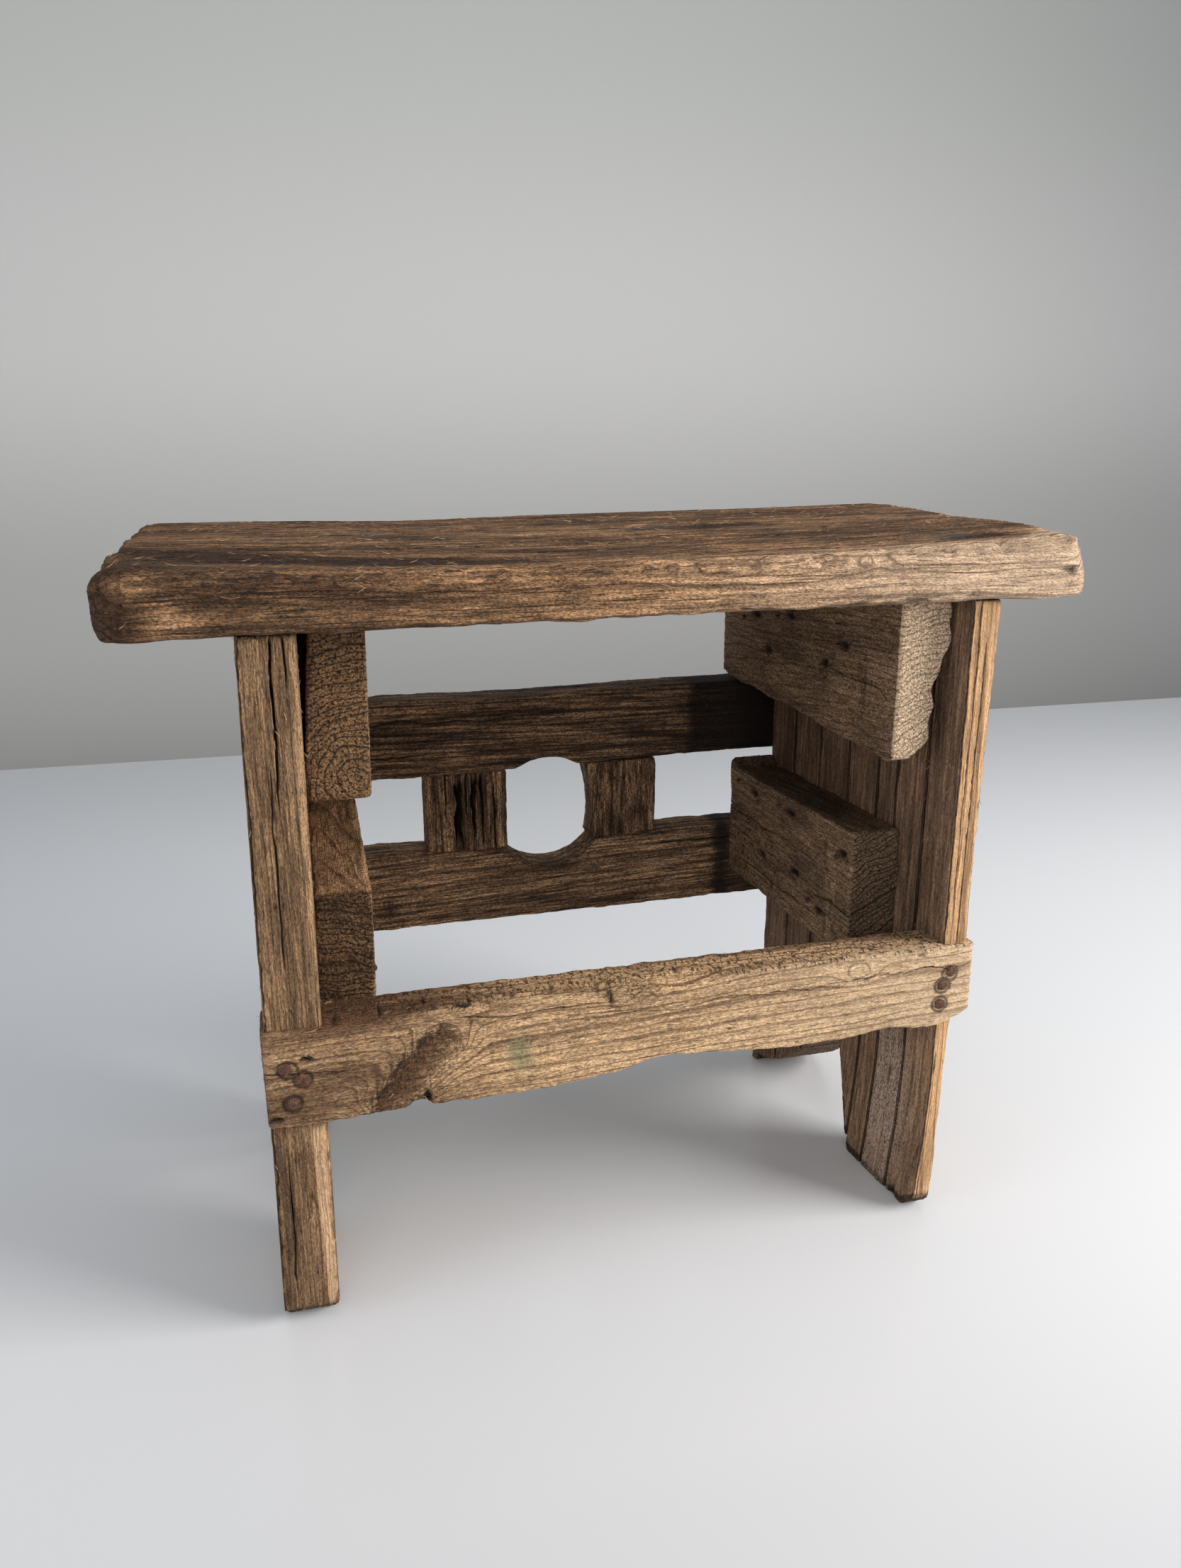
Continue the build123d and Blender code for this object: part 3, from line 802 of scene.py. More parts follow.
def end_board(side, number, start, width, **more):
    """One upright board of an end; its shape follows the foot line and its end's faces."""
    def shape(p):
        y = start + GAP / 2 + p[:, 2]
        z = foot_line(y) + (SEAT_LOW - foot_line(y)) * p[:, 0] / SEAT_LOW
        if side == "right":
            share = (1.0, 0.6, 0.25, 0, 0, 0, 0)[number]
            wane = np.interp(z, (0, 12, 55, 104, 150, 200, 312), (9.2, 8.5, 7.6, 6.9, 1.6, 1.9, 0.2)) * share
            low = right_inner(y) - 5.2 * unit((75 - z) / 75) ** 1.4
            high = RIGHT_OUTER - wane
        else:
            low, high = left_lean(z, -155.5, -162.5), left_inner(z)
        return np.stack([low + (high - low) * p[:, 1] / deep, y, z], 1)

    deep = LEFT_THICK if side == "left" else RIGHT_OUTER - right_inner(start + width / 2)
    name, wood = f"{side}_end_board_{number + 1}", more.pop("wood")
    return timber(name, wood, "z", (SEAT_LOW, deep, width - GAP), shape, soot=seam_soot, **more)


print("boards to an end", len(BOARD_WIDTHS))


# %% Make both ends
def right_tone(q):
    """The right end's front edge is painted pale as a painted highlight; its faces are dull, with painted
    light low at the front below the shade of the cleats and seat; its sawn foot is dark.
    """
    y, z = q[:, 1], q[:, 2]
    # The front edge gets a painted highlight.
    front = unit((-90.0 - y) / 0.8 + 0.5)
    foot = unit((4.6 - (z - foot_line(y))) / 1.2) * band(y, -100, -20, 3)
    # Painted light on the lower front of the faces; the upper part is left darker as painted shade under the
    # cleats and seat.
    face = -0.1 + 0.32 * band(z, -20, 98, 14) * band(y, -120, -20, 30)
    return face * (1 - front) + 1.0 * front - 1.3 * foot * (1 - 0.6 * front)


def left_tone(q):
    """The left end is darker low down, and its front edge has a painted highlight along the inner corner
    below the stretcher and a fainter one higher up.
    """
    front = unit((-89.8 - q[:, 1]) / 0.8 + 0.5)
    # Painted highlights along the inner corner of the front edge, low and high.
    low_highlight = band(q[:, 0] + 0.014 * q[:, 2], -142.5, -120, 2.0) * band(q[:, 2], -20, 100, 6)
    upper = band(q[:, 0] - 0.017 * q[:, 2], -141.5, -120, 2.5) * band(q[:, 2], 150, 290, 30)
    dull = 0.22 * band(q[:, 2], -20, 96, 20) + 0.3 * band(q[:, 2], -20, 6, 6)
    return -0.1 - dull + front * (0.1 + 1.1 * low_highlight + 0.45 * upper)


def blunt_foot(p):
    """Sharp up the board, but battered round at its foot."""
    return 1.3 + 2.6 * unit((7 - p[:, 0]) / 7)


board_cracks = {
    ("left", 0): [("b-", 12.4, 240, 330, 0.9, 6.0, 0.5), ("b-", 17.5, 290, 330, 0.7, 4.0, 0.5),
                  ("b-", 9.5, 170, 262, 0.6, 2.0, 0.6), ("b-", 6.0, 10, 80, 0.6, 2.0, 0.6)],
    ("right", 0): [("b-", 4.5, 160, 330, 0.7, 2.5, 0.8), ("b-", 9.0, 120, 300, 0.6, 2.0, 0.8),
                   ("b-", 3.0, -5, 90, 0.6, 2.0, 0.6)],
    ("right", 1): [("a-", 8.0, -5, 60, 0.7, 2.0, 0.8)],
}
board_bites = {
    ("right", 0): [((2, 3, 16), (6, 9, 3.2), 1.2, 0.9), ((64, 0, 14), (16, 3, 1.2), 0.5, 0.5)],
    ("right", 1): [((62, 0, 9), (6, 4, 1.3), 1.0, 0.8)],
    ("left", 0): [((200, 8, 0), (2, 1, 2), 0.6, 0.6), ((60, 14, 0), (3, 0.8, 2), 0.6, 0.6)],
}
grey_patch = [((143, -56, 50), (14, 16, 44))]
for side in ("left", "right"):
    edge = ENDS_FRONT
    for number, width in enumerate(BOARD_WIDTHS):
        if side == "left":
            special = {"wood": "board", "heart": (-40.0 - 9 * number, -130.0 - 17 * number), "marks": (),
                       "tone": None if number else left_tone, "radius": 0.8 if number else blunt_foot,
                       "seed": 10 * number + 4}
        else:
            special = {"wood": "inner", "heart": (40.0 + 23 * number, -190.0), "tone": right_tone,
                       "marks": grey_patch if number < 2 else (), "radius": 0.8 if number else 1.3,
                       "seed": 10 * number + 7}
        # Each board gets a shallow groove along both long edges, blackened inside as painted shade in the
        # joints.
        seams = [("a-", across, -9, 400, 1.3, 0.7, 0.0) for across in (0.0, width - GAP)]
        end_board(side, number, edge, width, uneven=0.7, slope=0.012 * math.sin(5 * number + 1),
                  cracks=[*board_cracks.get((side, number), ()), *seams], steps=(2.6, 0.8, 0.8),
                  bites=board_bites.get((side, number), ()),
                  relief={"Swell": 0.4, "Fibre relief": 0.5, "End relief": 2.0}, **special)
        edge += width

# %% [markdown]
# ## The front stretcher
# A rough batten, let flush into both ends. Its lower edge is wavy, a sliver has lifted off the top edge, and
# the grain swirls round a slanting knot near the left. The lines on its face come from a heart far below.

# %% Make the stretcher
STRETCHER_FRONT, STRETCHER_THICK, STRETCHER_TALL = -92.7, 21.9, 46.0
STRETCHER_LEFT, STRETCHER_LONG = -160.8, 327.0
FACE = (-110, -88, 3)            # the stretcher's front face, as a band of depth


def stretcher_shape(p):
    """A batten with a wavy lower edge and a top edge that dips where a sliver is gone."""
    q = p + (STRETCHER_LEFT, STRETCHER_FRONT, 0)
    low = through(q, 0, (-161, -138, -100, -89, -32, -6, 11, 28, 52, 84, 124, 157, 166),
                  (103.6, 102.4, 104.6, 104, 105, 108, 112, 111.6, 109, 107.2, 109.6, 109.8, 115))
    front = unit(1 - p[:, 1] / 9)
    top = 149.6 + front * (through(q, 0, (-161, -105, -87, -63, -30, 0, 17, 46, 100, 165),
                                   (148, 147, 150.5, 147.5, 148, 146, 144.5, 149.6, 149.8, 151)) - 149.6)
    q[:, 2] = low + (top - low) * p[:, 2] / STRETCHER_TALL
    sliver = 6.5 * unit((q[:, 0] + 80) / 68) * unit((-11.5 - q[:, 0]) / 1.2)
    q[:, 2] = np.minimum(q[:, 2], 149.8 - sliver * unit(1 - p[:, 1] / 7.5))
    return q


def knot_line(x, z):
    """How far along the slanting knot a place on the stretcher is, and how far across it."""
    along = -(x + 96) * 0.66 - (z - 122) * 0.75
    across = (x + 96) * 0.75 - (z - 122) * 0.66
    return along, across + 1.2 - 0.0039 * along**2


def stretcher_tone(q):
    """Pale and clean to the right, greyer and dirtier to the left and at the knot; the top face is darkened
    as painted shade.
    """
    x, y, z = q.T
    tone = through(q, 0, (-161, -110, -60, 20, 100, 166), (-0.34, -0.3, 0.1, 0.27, 0.55, 0.8))
    # The top face is darkened as painted shade.
    tone -= 0.35 * band(y, -90, -60, 3) * band(z, 143, 160, 3)
    along, across = knot_line(x, z)
    ragged = across + 1.5 * np.sin(along / 2.3) + 0.8 * np.sin(along / 0.9)
    knot = band(ragged, -7.5, 7.5, 1.2) * band(along, -23, 34, 5) * band(y, *FACE)
    tone -= (0.28 - 0.2 * across / 9) * knot
    tone += 0.3 * band(x, -78, -13, 3) * band(y, -91.5, -86, 2) * band(z, 141, 152, 2)
    return tone - 0.10 * blob((x, -136, 20), (z, 120, 22))


def stretcher_chatter(q):
    """Torn sawing marks on the top face, along the dark knot and a little elsewhere."""
    x, y, z = q.T
    along, across = knot_line(x, z)
    knot = (band(across, -12, -4, 3) + 0.6 * band(across, -6, 12, 4)) * band(along, -22, 34, 5)
    return 0.95 * band(z, 148.6, 170, 1.2) + 0.7 * knot * band(y, *FACE) + 0.06


def stretcher_soot(q):
    """Painted shade of a split down the left side of the knot, and of short ones beside it."""
    x, y, z = q.T
    along, across = knot_line(x, z)
    line = across + 7.6 + 0.8 * np.sin(along / 3.1) + 0.4 * np.sin(along / 1.1)
    split = unit(1.25 - np.abs(line) / 0.75) * band(along, -16, 24, 6)
    second = unit(1.1 - np.abs(line - 3.2 - 0.06 * along) / 0.55) * band(along, 2, 24, 6)
    return (0.75 * split + 0.6 * second) * band(y, *FACE)


def node_points(node):
    """The points of a CAD node, in millimetres."""
    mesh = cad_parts[node].data
    points = np.empty(len(mesh.vertices) * 3)
    mesh.vertices.foreach_get("co", points)
    return points.reshape(-1, 3) / MM


def nail_stains(node, axis, sign, reach):
    """Rust stains of a given reach round the middle of each nail's head in a CAD node; the same reach also
    places a painted shadow ring round each head.
    """
    points = node_points(node)
    face = np.abs(points[:, axis] * sign - (points[:, axis] * sign).max()) < 1.6
    heads = []
    for place in points[face]:
        for head in heads:
            if np.linalg.norm(head[0] - place) < 7.5:
                head.append(place)
                break
        else:
            heads.append([place])
    return [((np.min(head, 0) + np.max(head, 0)) / 2, reach) for head in heads]


timber("front_stretcher", "batten", "x",
       (STRETCHER_LONG, STRETCHER_THICK, STRETCHER_TALL), stretcher_shape, (40.0, -30.0),
       steps=(1.8, 0.84, 0.67), radius=1.6, uneven=0.8, tone=stretcher_tone, slope=-0.035,
       marks=[((-53, -92, 125), (4.5, 9, 6.5)), ((-50, -92, 118), (3, 9, 3))],
       cracks=[
           ("a-", 41.2, 80, 152, 0.9, 2.5, 0.8),
           ("a-", 36.5, 128, 175, 0.6, 2.0, 1.0),
           ("a-", 33.0, 120, 330, 0.45, 1.2, 3.0),
           ("a-", 26.0, -5, 30, 0.8, 3.0, 1.5),
           ("b+", 5.0, 96, 170, 1.2, 4.0, 1.0),
       ],
       bites=[((64, -1, 0), (6, 12, 5), 3.6, 0.35), ((67, 0, 4), (2.0, 3, 4.5), 1.5, 1.0),
              ((163, 0, 45), (9, 6, 5), 2.5, 0.3),
              ((149.5, 2, 43), (1.0, 6, 4.5), 1.6, 1.0), ((160, 0, 44), (1.2, 3, 2.2), 1.2, 0.8),
              ((84, 3, 46), (4, 3, 2), 1.6, 0.9), ((30, 0, 25), (6, 3, 0.7), 0.5, 0.6),
              ((18, 0, 33), (2.8, 3, 1.6), 2.0, 1.0), ((3, 0, 4), (3.5, 3, 1.5), 1.0, 0.8),
              ((206, 0, 32), (0.9, 3, 0.9), 1.2, 1.0), ((205, 0, 14), (0.9, 3, 0.7), 1.0, 1.0),
              ((176, 0, 22), (0.8, 3, 0.8), 0.8, 0.9), ((300, 0, 42), (2.4, 3, 1.2), 0.8, 0.6),
              ((240, 0, 17), (0.8, 3, 1.0), 0.8, 0.7), ((96, 0, 24), (0.8, 3, 6), 0.6, 0.5),
              *[((x, 6 + 2.2 * (n % 3), 46), (0.7, 3.2, 2), 1.1, 0.75)
                for n, x in enumerate(range(30, 320, 19))]],
       knots=[((-86, -92, 132), (12, 60, 10), 2.3), ((-98, -92, 119), (12, 60, 10), 2.3),
              ((-110, -92, 106), (12, 60, 10), 2.3), ((108, -92, 141), (9, 60, 5), 0.8),
              ((-4, -92, 147), (8, 60, 5), 0.8)],
       chatter=stretcher_chatter, soot=stretcher_soot,
       crowded=(*range(5, 24, 3), *range(36, 96, 3), *range(303, 324, 3)),
       rust=[*nail_stains("stretcher_nails_left", 1, -1, 3.9),
             *nail_stains("stretcher_nails_right", 1, -1, 3.9)],
       relief={"Ring relief": 0.25, "Fibre relief": 0.5, "Torn grain": 0.5, "Swell": 0.6}, seed=5)

# %% [markdown]
# ## The rear frame
# Two rails cross the backs of the ends and two short upright blocks stand between them. A hand hole is cut
# into both rails and the right block, round at the top and bottom and flatter at its sides.

# %% Make the rear frame
RAIL_FRONT, RAIL_THICK = ENDS_BACK, 20.0
RAIL_LEFT, RAIL_LONG, RAIL_TALL = -160.5, 325.5, 42
BLOCK_TOP, BLOCK_TALL, BLOCK_THICK = 201.6, 46, 18.3
HOLE_X, HOLE_Z, HOLE_R = -2.8, 174.5, 32.5


def rail_shape(low_at, top_at, scoop):
    """A rail with wavy edges; scoop is -1 if the hand hole bites its lower edge, 1 its upper one."""
    def shape(p):
        q = p + (RAIL_LEFT, RAIL_FRONT, 0)
        low = through(q, 0, (-161, -60, 60, 166), low_at)
        top = through(q, 0, (-161, -90, -30, 60, 166), top_at)
        reach = np.sqrt(np.clip(HOLE_R**2 - (q[:, 0] - HOLE_X) ** 2, 0, None))
        if scoop < 0:
            low = np.maximum(low, np.minimum(HOLE_Z + reach, low + 5.5))
        else:
            top = np.minimum(top, HOLE_Z - reach + 1.0 * (p[:, 1] / RAIL_THICK))
        q[:, 2] = low + (top - low) * p[:, 2] / RAIL_TALL
        return q
    return shape


UPPER_RAIL, LOWER_RAIL = (190, 300, 4), (90, 160, 4)      # as bands of height


def rail_tone(q):
    """Dirty wood, with a black stain at the right end of the upper rail, made darker still by painted shade.
    """
    x, z = q[:, 0], q[:, 2]
    upper, lower = band(z, *UPPER_RAIL), band(z, *LOWER_RAIL)
    # At the right end of the upper rail a stain and painted shade together.
    stain = band(x, 88, 170, 22) * upper
    smudge = 0.7 * band(x, 96, 106, 6) * lower
    knot = blob((x, -95, 8), (z, 126, 7))
    return -0.15 - 1.6 * stain - smudge - 0.5 * knot + 0.25 * lower


def rail_soot(q):
    """Near-black at the right end of the upper rail, a stain with painted shade; the lower rail's right end
    is darkened less, and a slit by the knot is painted black as shade.
    """
    x, y, z = q.T
    upper = band(z, *UPPER_RAIL)
    end = unit((x - 84) / 34) * upper
    low_end = unit((x - 92) / 12) * band(z, *LOWER_RAIL)
    slit = unit(1.2 - np.abs(x + 95 + 0.5 * np.sin(z)) / 0.7) * band(z, 119, 131, 3)
    end = np.maximum(end, 0.35 * unit((x - 20) / 70) * upper)
    return 0.95 * end + 0.62 * low_end + 0.9 * slit * band(y, 60, 78, 2)


rear = {"steps": (2.2, 0.9, 0.75), "radius": 1.4, "uneven": 0.8, "tone": rail_tone, "soot": rail_soot,
        "crowded": range(55, 76, 3), "rust": nail_stains("rear_rail_nails", 1, 1, 5.0)}
rail_size = (RAIL_LONG, RAIL_THICK, RAIL_TALL)
timber("rear_rail_upper", "frame", "x", rail_size,
       rail_shape((202, 201, 203, 203), (243, 244, 243, 244, 244), -1),
       (30.0, 150.0), slope=0.02, seed=21, **rear, relief={"Fibre relief": 0.5, "Torn grain": 0.6},
       cracks=[("a-", 12, 10, 90, 0.9, 2.5, 2.0), ("a-", 30, 40, 180, 0.7, 2.0, 2.0)],
       knots=[((40, 75, 207), (5, 30, 4), 0.6)])
timber("rear_rail_lower", "frame", "x", rail_size,
       rail_shape((112.5, 113, 113, 113.5), (156, 158.5, 154, 158, 157), 1),
       (20.0, -40.0), slope=-0.03, seed=22, **rear, relief={"Fibre relief": 0.45},
       cracks=[("a-", 34, 210, 330, 1.0, 3.0, 1.5), ("b+", 9, 220, 330, 1.2, 4.0, 1.2)],
       knots=[((-95, 75, 126), (13, 60, 11), 3.0)])


def block_shape(left, right, hollow, low):
    """An upright block between the rails; hollow is how far the hand hole eats into its left side."""
    def shape(p):
        z = low + p[:, 0] * (BLOCK_TOP - low) / BLOCK_TALL
        eaten = hollow * unit(1 - ((z - HOLE_Z) / 28) ** 2)
        x = left + eaten + (right - left - eaten) * p[:, 1] / (right - left)
        return np.stack([x, RAIL_FRONT + 1.5 + p[:, 2], z], 1)
    return shape


timber("rear_block_left", "frame", "z", (BLOCK_TALL, 45, BLOCK_THICK), block_shape(-71.5, -26.5, 0, 154.6),
       (-55.0, 20.0), steps=(1.4, 0.6, 0.7), radius=1.6, uneven=0.9, seed=23,
       cracks=[("b-", 18, -5, 60, 4.2, 15, 0.6), ("b-", 26.5, 8, 60, 2.6, 12, 1.0),
               ("b-", 31, 2, 60, 1.4, 6, 1.0), ("b-", 11, 16, 60, 0.8, 3, 0.8),
               ("b-", 38, -5, 40, 0.9, 4, 0.8), ("b-", 22.5, 18, 60, 0.9, 4, 0.8)],
       relief={"Fibre relief": 0.6, "Torn grain": 0.8, "Swell": 1.8},
       knots=[((-61, 76, 172), (7, 30, 8), 0.8)])
timber("rear_block_right", "frame", "z", (BLOCK_TALL, 43, BLOCK_THICK), block_shape(17.5, 60.5, 5.5, 156.2),
       (80.0, -120.0), steps=(1.4, 0.6, 0.7), radius=1.4, uneven=0.8, seed=24, slope=0.1,
       relief={"Fibre relief": 0.9, "Torn grain": 0.9, "Swell": 1.0})

# %% [markdown]
# ## The cleats
# Short thick battens on the inside of each end hold its boards together and carry the seat. Their front ends
# face the sitter, so their end grain shows: arcs, pits and ragged lower corners.


# %% How a cleat is made
CLEAT_THICK, CLEAT_TOP = 25.2, 311.8


def level(height):
    """An edge that stays at one height."""
    return lambda y: height + 0 * y


def cleat(name, low_at, high_at, start, end, faces, heart, wood="cleat", **more):
    """A cleat along Y; faces gives its two X faces for a point's depth and height."""
    tall, length = high_at(0) - low_at(0), end - start

    def shape(p):
        y = start + p[:, 0]
        low, high = low_at(y), high_at(y)
        z = low + (high - low) * p[:, 1] / tall
        left, right = faces(y, z)
        return np.stack([left + (right - left) * p[:, 2] / CLEAT_THICK, y, z], 1)

    return timber(name, wood, "y", (length, tall, CLEAT_THICK), shape, heart, **more)


def right_faces(y, z):
    """A cleat flat against the right end."""
    return right_inner(y) - CLEAT_THICK, right_inner(y)


def right_top_faces(y, z):
    """The upper right cleat leans, and its lower outer corner is broken away at the front."""
    step = unit((290 - z) / 21)
    corner = 6.5 * step * step * (3 - 2 * step) + 8 * unit((248 - z) / 8) ** 2
    ragged = 0.7 * np.sin(z / 2.3) + 0.6 * np.sin(z / 5.1)
    outer = right_inner(y) - 1.2 - corner * unit((-50 - y) / 18)
    return right_inner(y) - CLEAT_THICK, outer + ragged * unit((-72 - y) / 4)


def bruises(start, low, places):
    """Torn hollows where nail points come through, blackened inside as painted shade, from their (y, z)
    places.
    """
    return [((y - start, z - low, 0), (4.2, 2.3, 3), 1.6, 1.0) for y, z in places]


def low_split(q):
    """A thin wedge of the lower right cleat has split off, from near its top to its front lower corner. Its
    edges are drawn as near-black lines of painted shade.
    """
    y, z = q[:, 1], q[:, 2]
    share = unit((182 - z) / 55)
    left, right = -28 - 3 * share, -28 - 12 * share
    inside = band(z, 120, 184, 3) * band(q[:, 0], 0, right_inner(y) - 22, 2)
    near = np.minimum(np.abs(y - left), np.abs(y - right + 0.6 * np.sin(z / 4)))
    return 0.6 * unit(1.2 - near / 0.9) * inside


def left_faces(y, z):
    """A cleat flat against the left end."""
    return left_inner(z), left_inner(z) + CLEAT_THICK


def left_top_faces(y, z):
    """The upper left cleat has sprung from its boards at the top, and a dark gap shows."""
    face = left_inner(z)
    sprung = unit((z - 248) / 60) * unit((-15 - y) / 30)
    return face + 4.2 * sprung, face + 27.0


print("cleat thickness", CLEAT_THICK)


# %% Make the cleats
def bowed(y):
    """The upper right cleat's lower edge rises towards the back, and its front corner is lost."""
    return 236.5 + 10.5 * (y + 78) / 167 + 4 * unit((-70 - y) / 9) ** 2


def wedge_tone(q):
    """Dull wood, dark along the top, and paler on the split wedge."""
    wedge = (q[:, 1] < -29) * (q[:, 1] > -38) * band(q[:, 2], 120, 180, 3)
    return -0.1 - 0.35 * unit((q[:, 2] - 193.5) / 1.0) + 0.3 * wedge


common = {"steps": (2.4, 0.85, 0.8), "uneven": 0.9,
          "relief": {"End relief": 2.4, "Fibre relief": 0.5, "Torn grain": 0.6, "Swell": 0.8}}
cleat("cleat_right_top", bowed, level(CLEAT_TOP), -78.3, 89.0, right_top_faces,
      (222.0, 150.0), radius=2.2, seed=31,
      bites=[*bruises(-78.3, 236.5, ((51, 280), (16, 285), (-34, 280), (-17, 268), (37, 263))),
             ((27, 28, 0), (1.5, 16, 2), 0.8, 0.6), ((60, 36, 0), (9, 0.8, 2), 0.6, 0.5)],
      cracks=[("b-", 30, 10, 60, 0.7, 1.5, 1.5), ("b-", 52, 80, 170, 0.7, 1.5, 2.0)],
      tone=lambda q: -0.1 + 1.15 * unit((-76.8 - q[:, 1]) / 1.2 + 0.5), **common)
cleat("cleat_right_low", lambda y: 127.0 + 0.03 * (y + 52), lambda y: 195.0 + 4.5 * blob((y, 72, 3.5)),
      -51.8, 75.0, right_faces, (40.0, 190.0), radius=1.6, seed=32, slope=0.25,
      chatter=lambda q: 0.8 * band(q[:, 1], 8, 80, 30) * band(q[:, 2], 100, 168, 10),
      bites=bruises(-51.8, 127, ((46, 184), (8, 185), (35, 151), (0, 154), (-24, 142), (-43, 180))),
      cracks=[("b-", 22, -5, 40, 0.8, 2.0, 3.0), ("b-", 12, 30, 120, 0.8, 2.0, 2.0),
              ("b-", 40, 60, 130, 0.7, 2, 3)],
      soot=low_split, tone=wedge_tone, **common)
cleat("cleat_left_top", level(236.5), level(CLEAT_TOP), -64.1, 75.0, left_top_faces,
      (246.0, -112.0), radius=2.2, seed=33, wood="amber", tone=lambda q: np.full(len(q), -0.12), **common)
cleat("cleat_left_low", level(125.0), lambda y: 191.0 + 0.05 * (y + 53), -53.2, 75.0, left_faces,
      (-20.0, -150.0), radius=1.8, seed=34, chatter=lambda q: 0.5 * band(q[:, 2], 185, 220, 4),
      wood="amber", tone=lambda q: 0.4 - 0.75 * unit((-52.0 - q[:, 1]) / 1.0 + 0.5), **common)

# %% [markdown]
# ## Nails
# The stool is held by old wire nails with flat round heads, hammered a little crooked, and the long ones come
# through the cleats and are bent over. One Geometry Nodes tree makes them all: each nail is a single point
# with its direction, and the tree puts a shank, and a domed head if it has one, on every point, then dents
# the lot with noise so no two are alike.


# %% The nail tree
def nail_tree():
    """Points with `aim`, `reach` and `headed` become rusty nails."""
    inputs = [
        ("Geometry", "NodeSocketGeometry", None),
        ("Head radius", "NodeSocketFloat", 3.2 * MM),
        ("Shank radius", "NodeSocketFloat", 1.4 * MM),
        ("Dents", "NodeSocketFloat", 0.5 * MM),
        ("Material", "NodeSocketMaterial", None),
    ]
    tree, given = new_tree("Wire nails", inputs)
    turn = put(tree, "FunctionNodeAlignRotationToVector", axis="Z",
               named={"Vector": named_value(tree, "aim", "FLOAT_VECTOR")})
    ball = put(tree, "GeometryNodeMeshUVSphere", 18, 10, given["Head radius"])
    flat = put(tree, "GeometryNodeTransform", ball, named={"Scale": (1.0, 1.0, 0.32)})
    heads = put(tree, "GeometryNodeInstanceOnPoints", given["Geometry"],
                named={"Selection": named_value(tree, "headed", "BOOLEAN"), "Instance": flat,
                       "Rotation": turn})
    pole = put(tree, "GeometryNodeMeshCone", 8, 5, 1, 0.55 * MM, given["Shank radius"], 1.0)
    size = put(tree, "ShaderNodeCombineXYZ", 1.0, 1.0, named_value(tree, "reach"))
    shanks = put(tree, "GeometryNodeInstanceOnPoints", given["Geometry"],
                 named={"Instance": pole, "Rotation": turn, "Scale": size})
    both = tree.nodes.new("GeometryNodeJoinGeometry")
    for part in (heads, shanks):
        tree.links.new(part, both.inputs[0])
    real = put(tree, "GeometryNodeRealizeInstances", both.outputs[0])
    place = put(tree, "GeometryNodeInputPosition")
    bumps = put(tree, "ShaderNodeTexNoise", place, out=1,
                named={"Scale": 420.0, "Detail": 3.0, "Roughness": 0.6})
    bumps = put(tree, "ShaderNodeVectorMath", bumps, (0.5, 0.5, 0.5), operation="SUBTRACT")
    bumps = put(tree, "ShaderNodeVectorMath", bumps, operation="SCALE",
                named={"Scale": times(tree, given["Dents"], 3.0)})
    dented = put(tree, "GeometryNodeSetPosition", named={"Geometry": real, "Offset": bumps})
    close_tree(tree, dented, given["Material"])
    return tree


def rusty():
    """Old iron: dark brown scale, orange powder in spots, hardly any shine."""
    material, tree = new_material("Rusty_iron")
    place = put(tree, "ShaderNodeTexCoord", out=3)
    specks = put(tree, "ShaderNodeTexNoise", place, named={"Scale": 1100.0, "Detail": 4.0, "Roughness": 0.7})
    broad = put(tree, "ShaderNodeTexNoise", place, named={"Scale": 300.0, "Detail": 2.0, "Roughness": 0.6})
    colour = mixed(tree, between(tree, specks, 0.38, 0.62), srgb(50, 36, 28), srgb(124, 86, 64))
    colour = mixed(tree, between(tree, broad, 0.45, 0.65), colour, srgb(86, 57, 44))
    bump = put(tree, "ShaderNodeBump", named={"Strength": 0.9, "Distance": 0.3 * MM, "Height": specks})
    return painted(material, {"Base Color": colour, "Normal": bump, "Roughness": 0.78, "Metallic": 0.25})


wire_nails = nail_tree()
iron = rusty()
print("nail inputs", list(tree_inputs(wire_nails)))


# %% Drive the nails
def islands(node):
    """Each nail of a CAD node as its own array of points, in millimetres."""
    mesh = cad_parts[node].data
    points, index = np.unique(np.round(node_points(node), 2), axis=0, return_inverse=True)
    edges = np.empty(len(mesh.edges) * 2, int)
    mesh.edges.foreach_get("vertices", edges)
    edges = index.ravel()[edges].reshape(-1, 2)
    label = np.arange(len(points))
    for _ in range(400):
        low = np.minimum(label[edges[:, 0]], label[edges[:, 1]])
        before = label.copy()
        np.minimum.at(label, edges[:, 0], low)
        np.minimum.at(label, edges[:, 1], low)
        if (before == label).all():
            break
    return [points[label == number] for number in np.unique(label)]


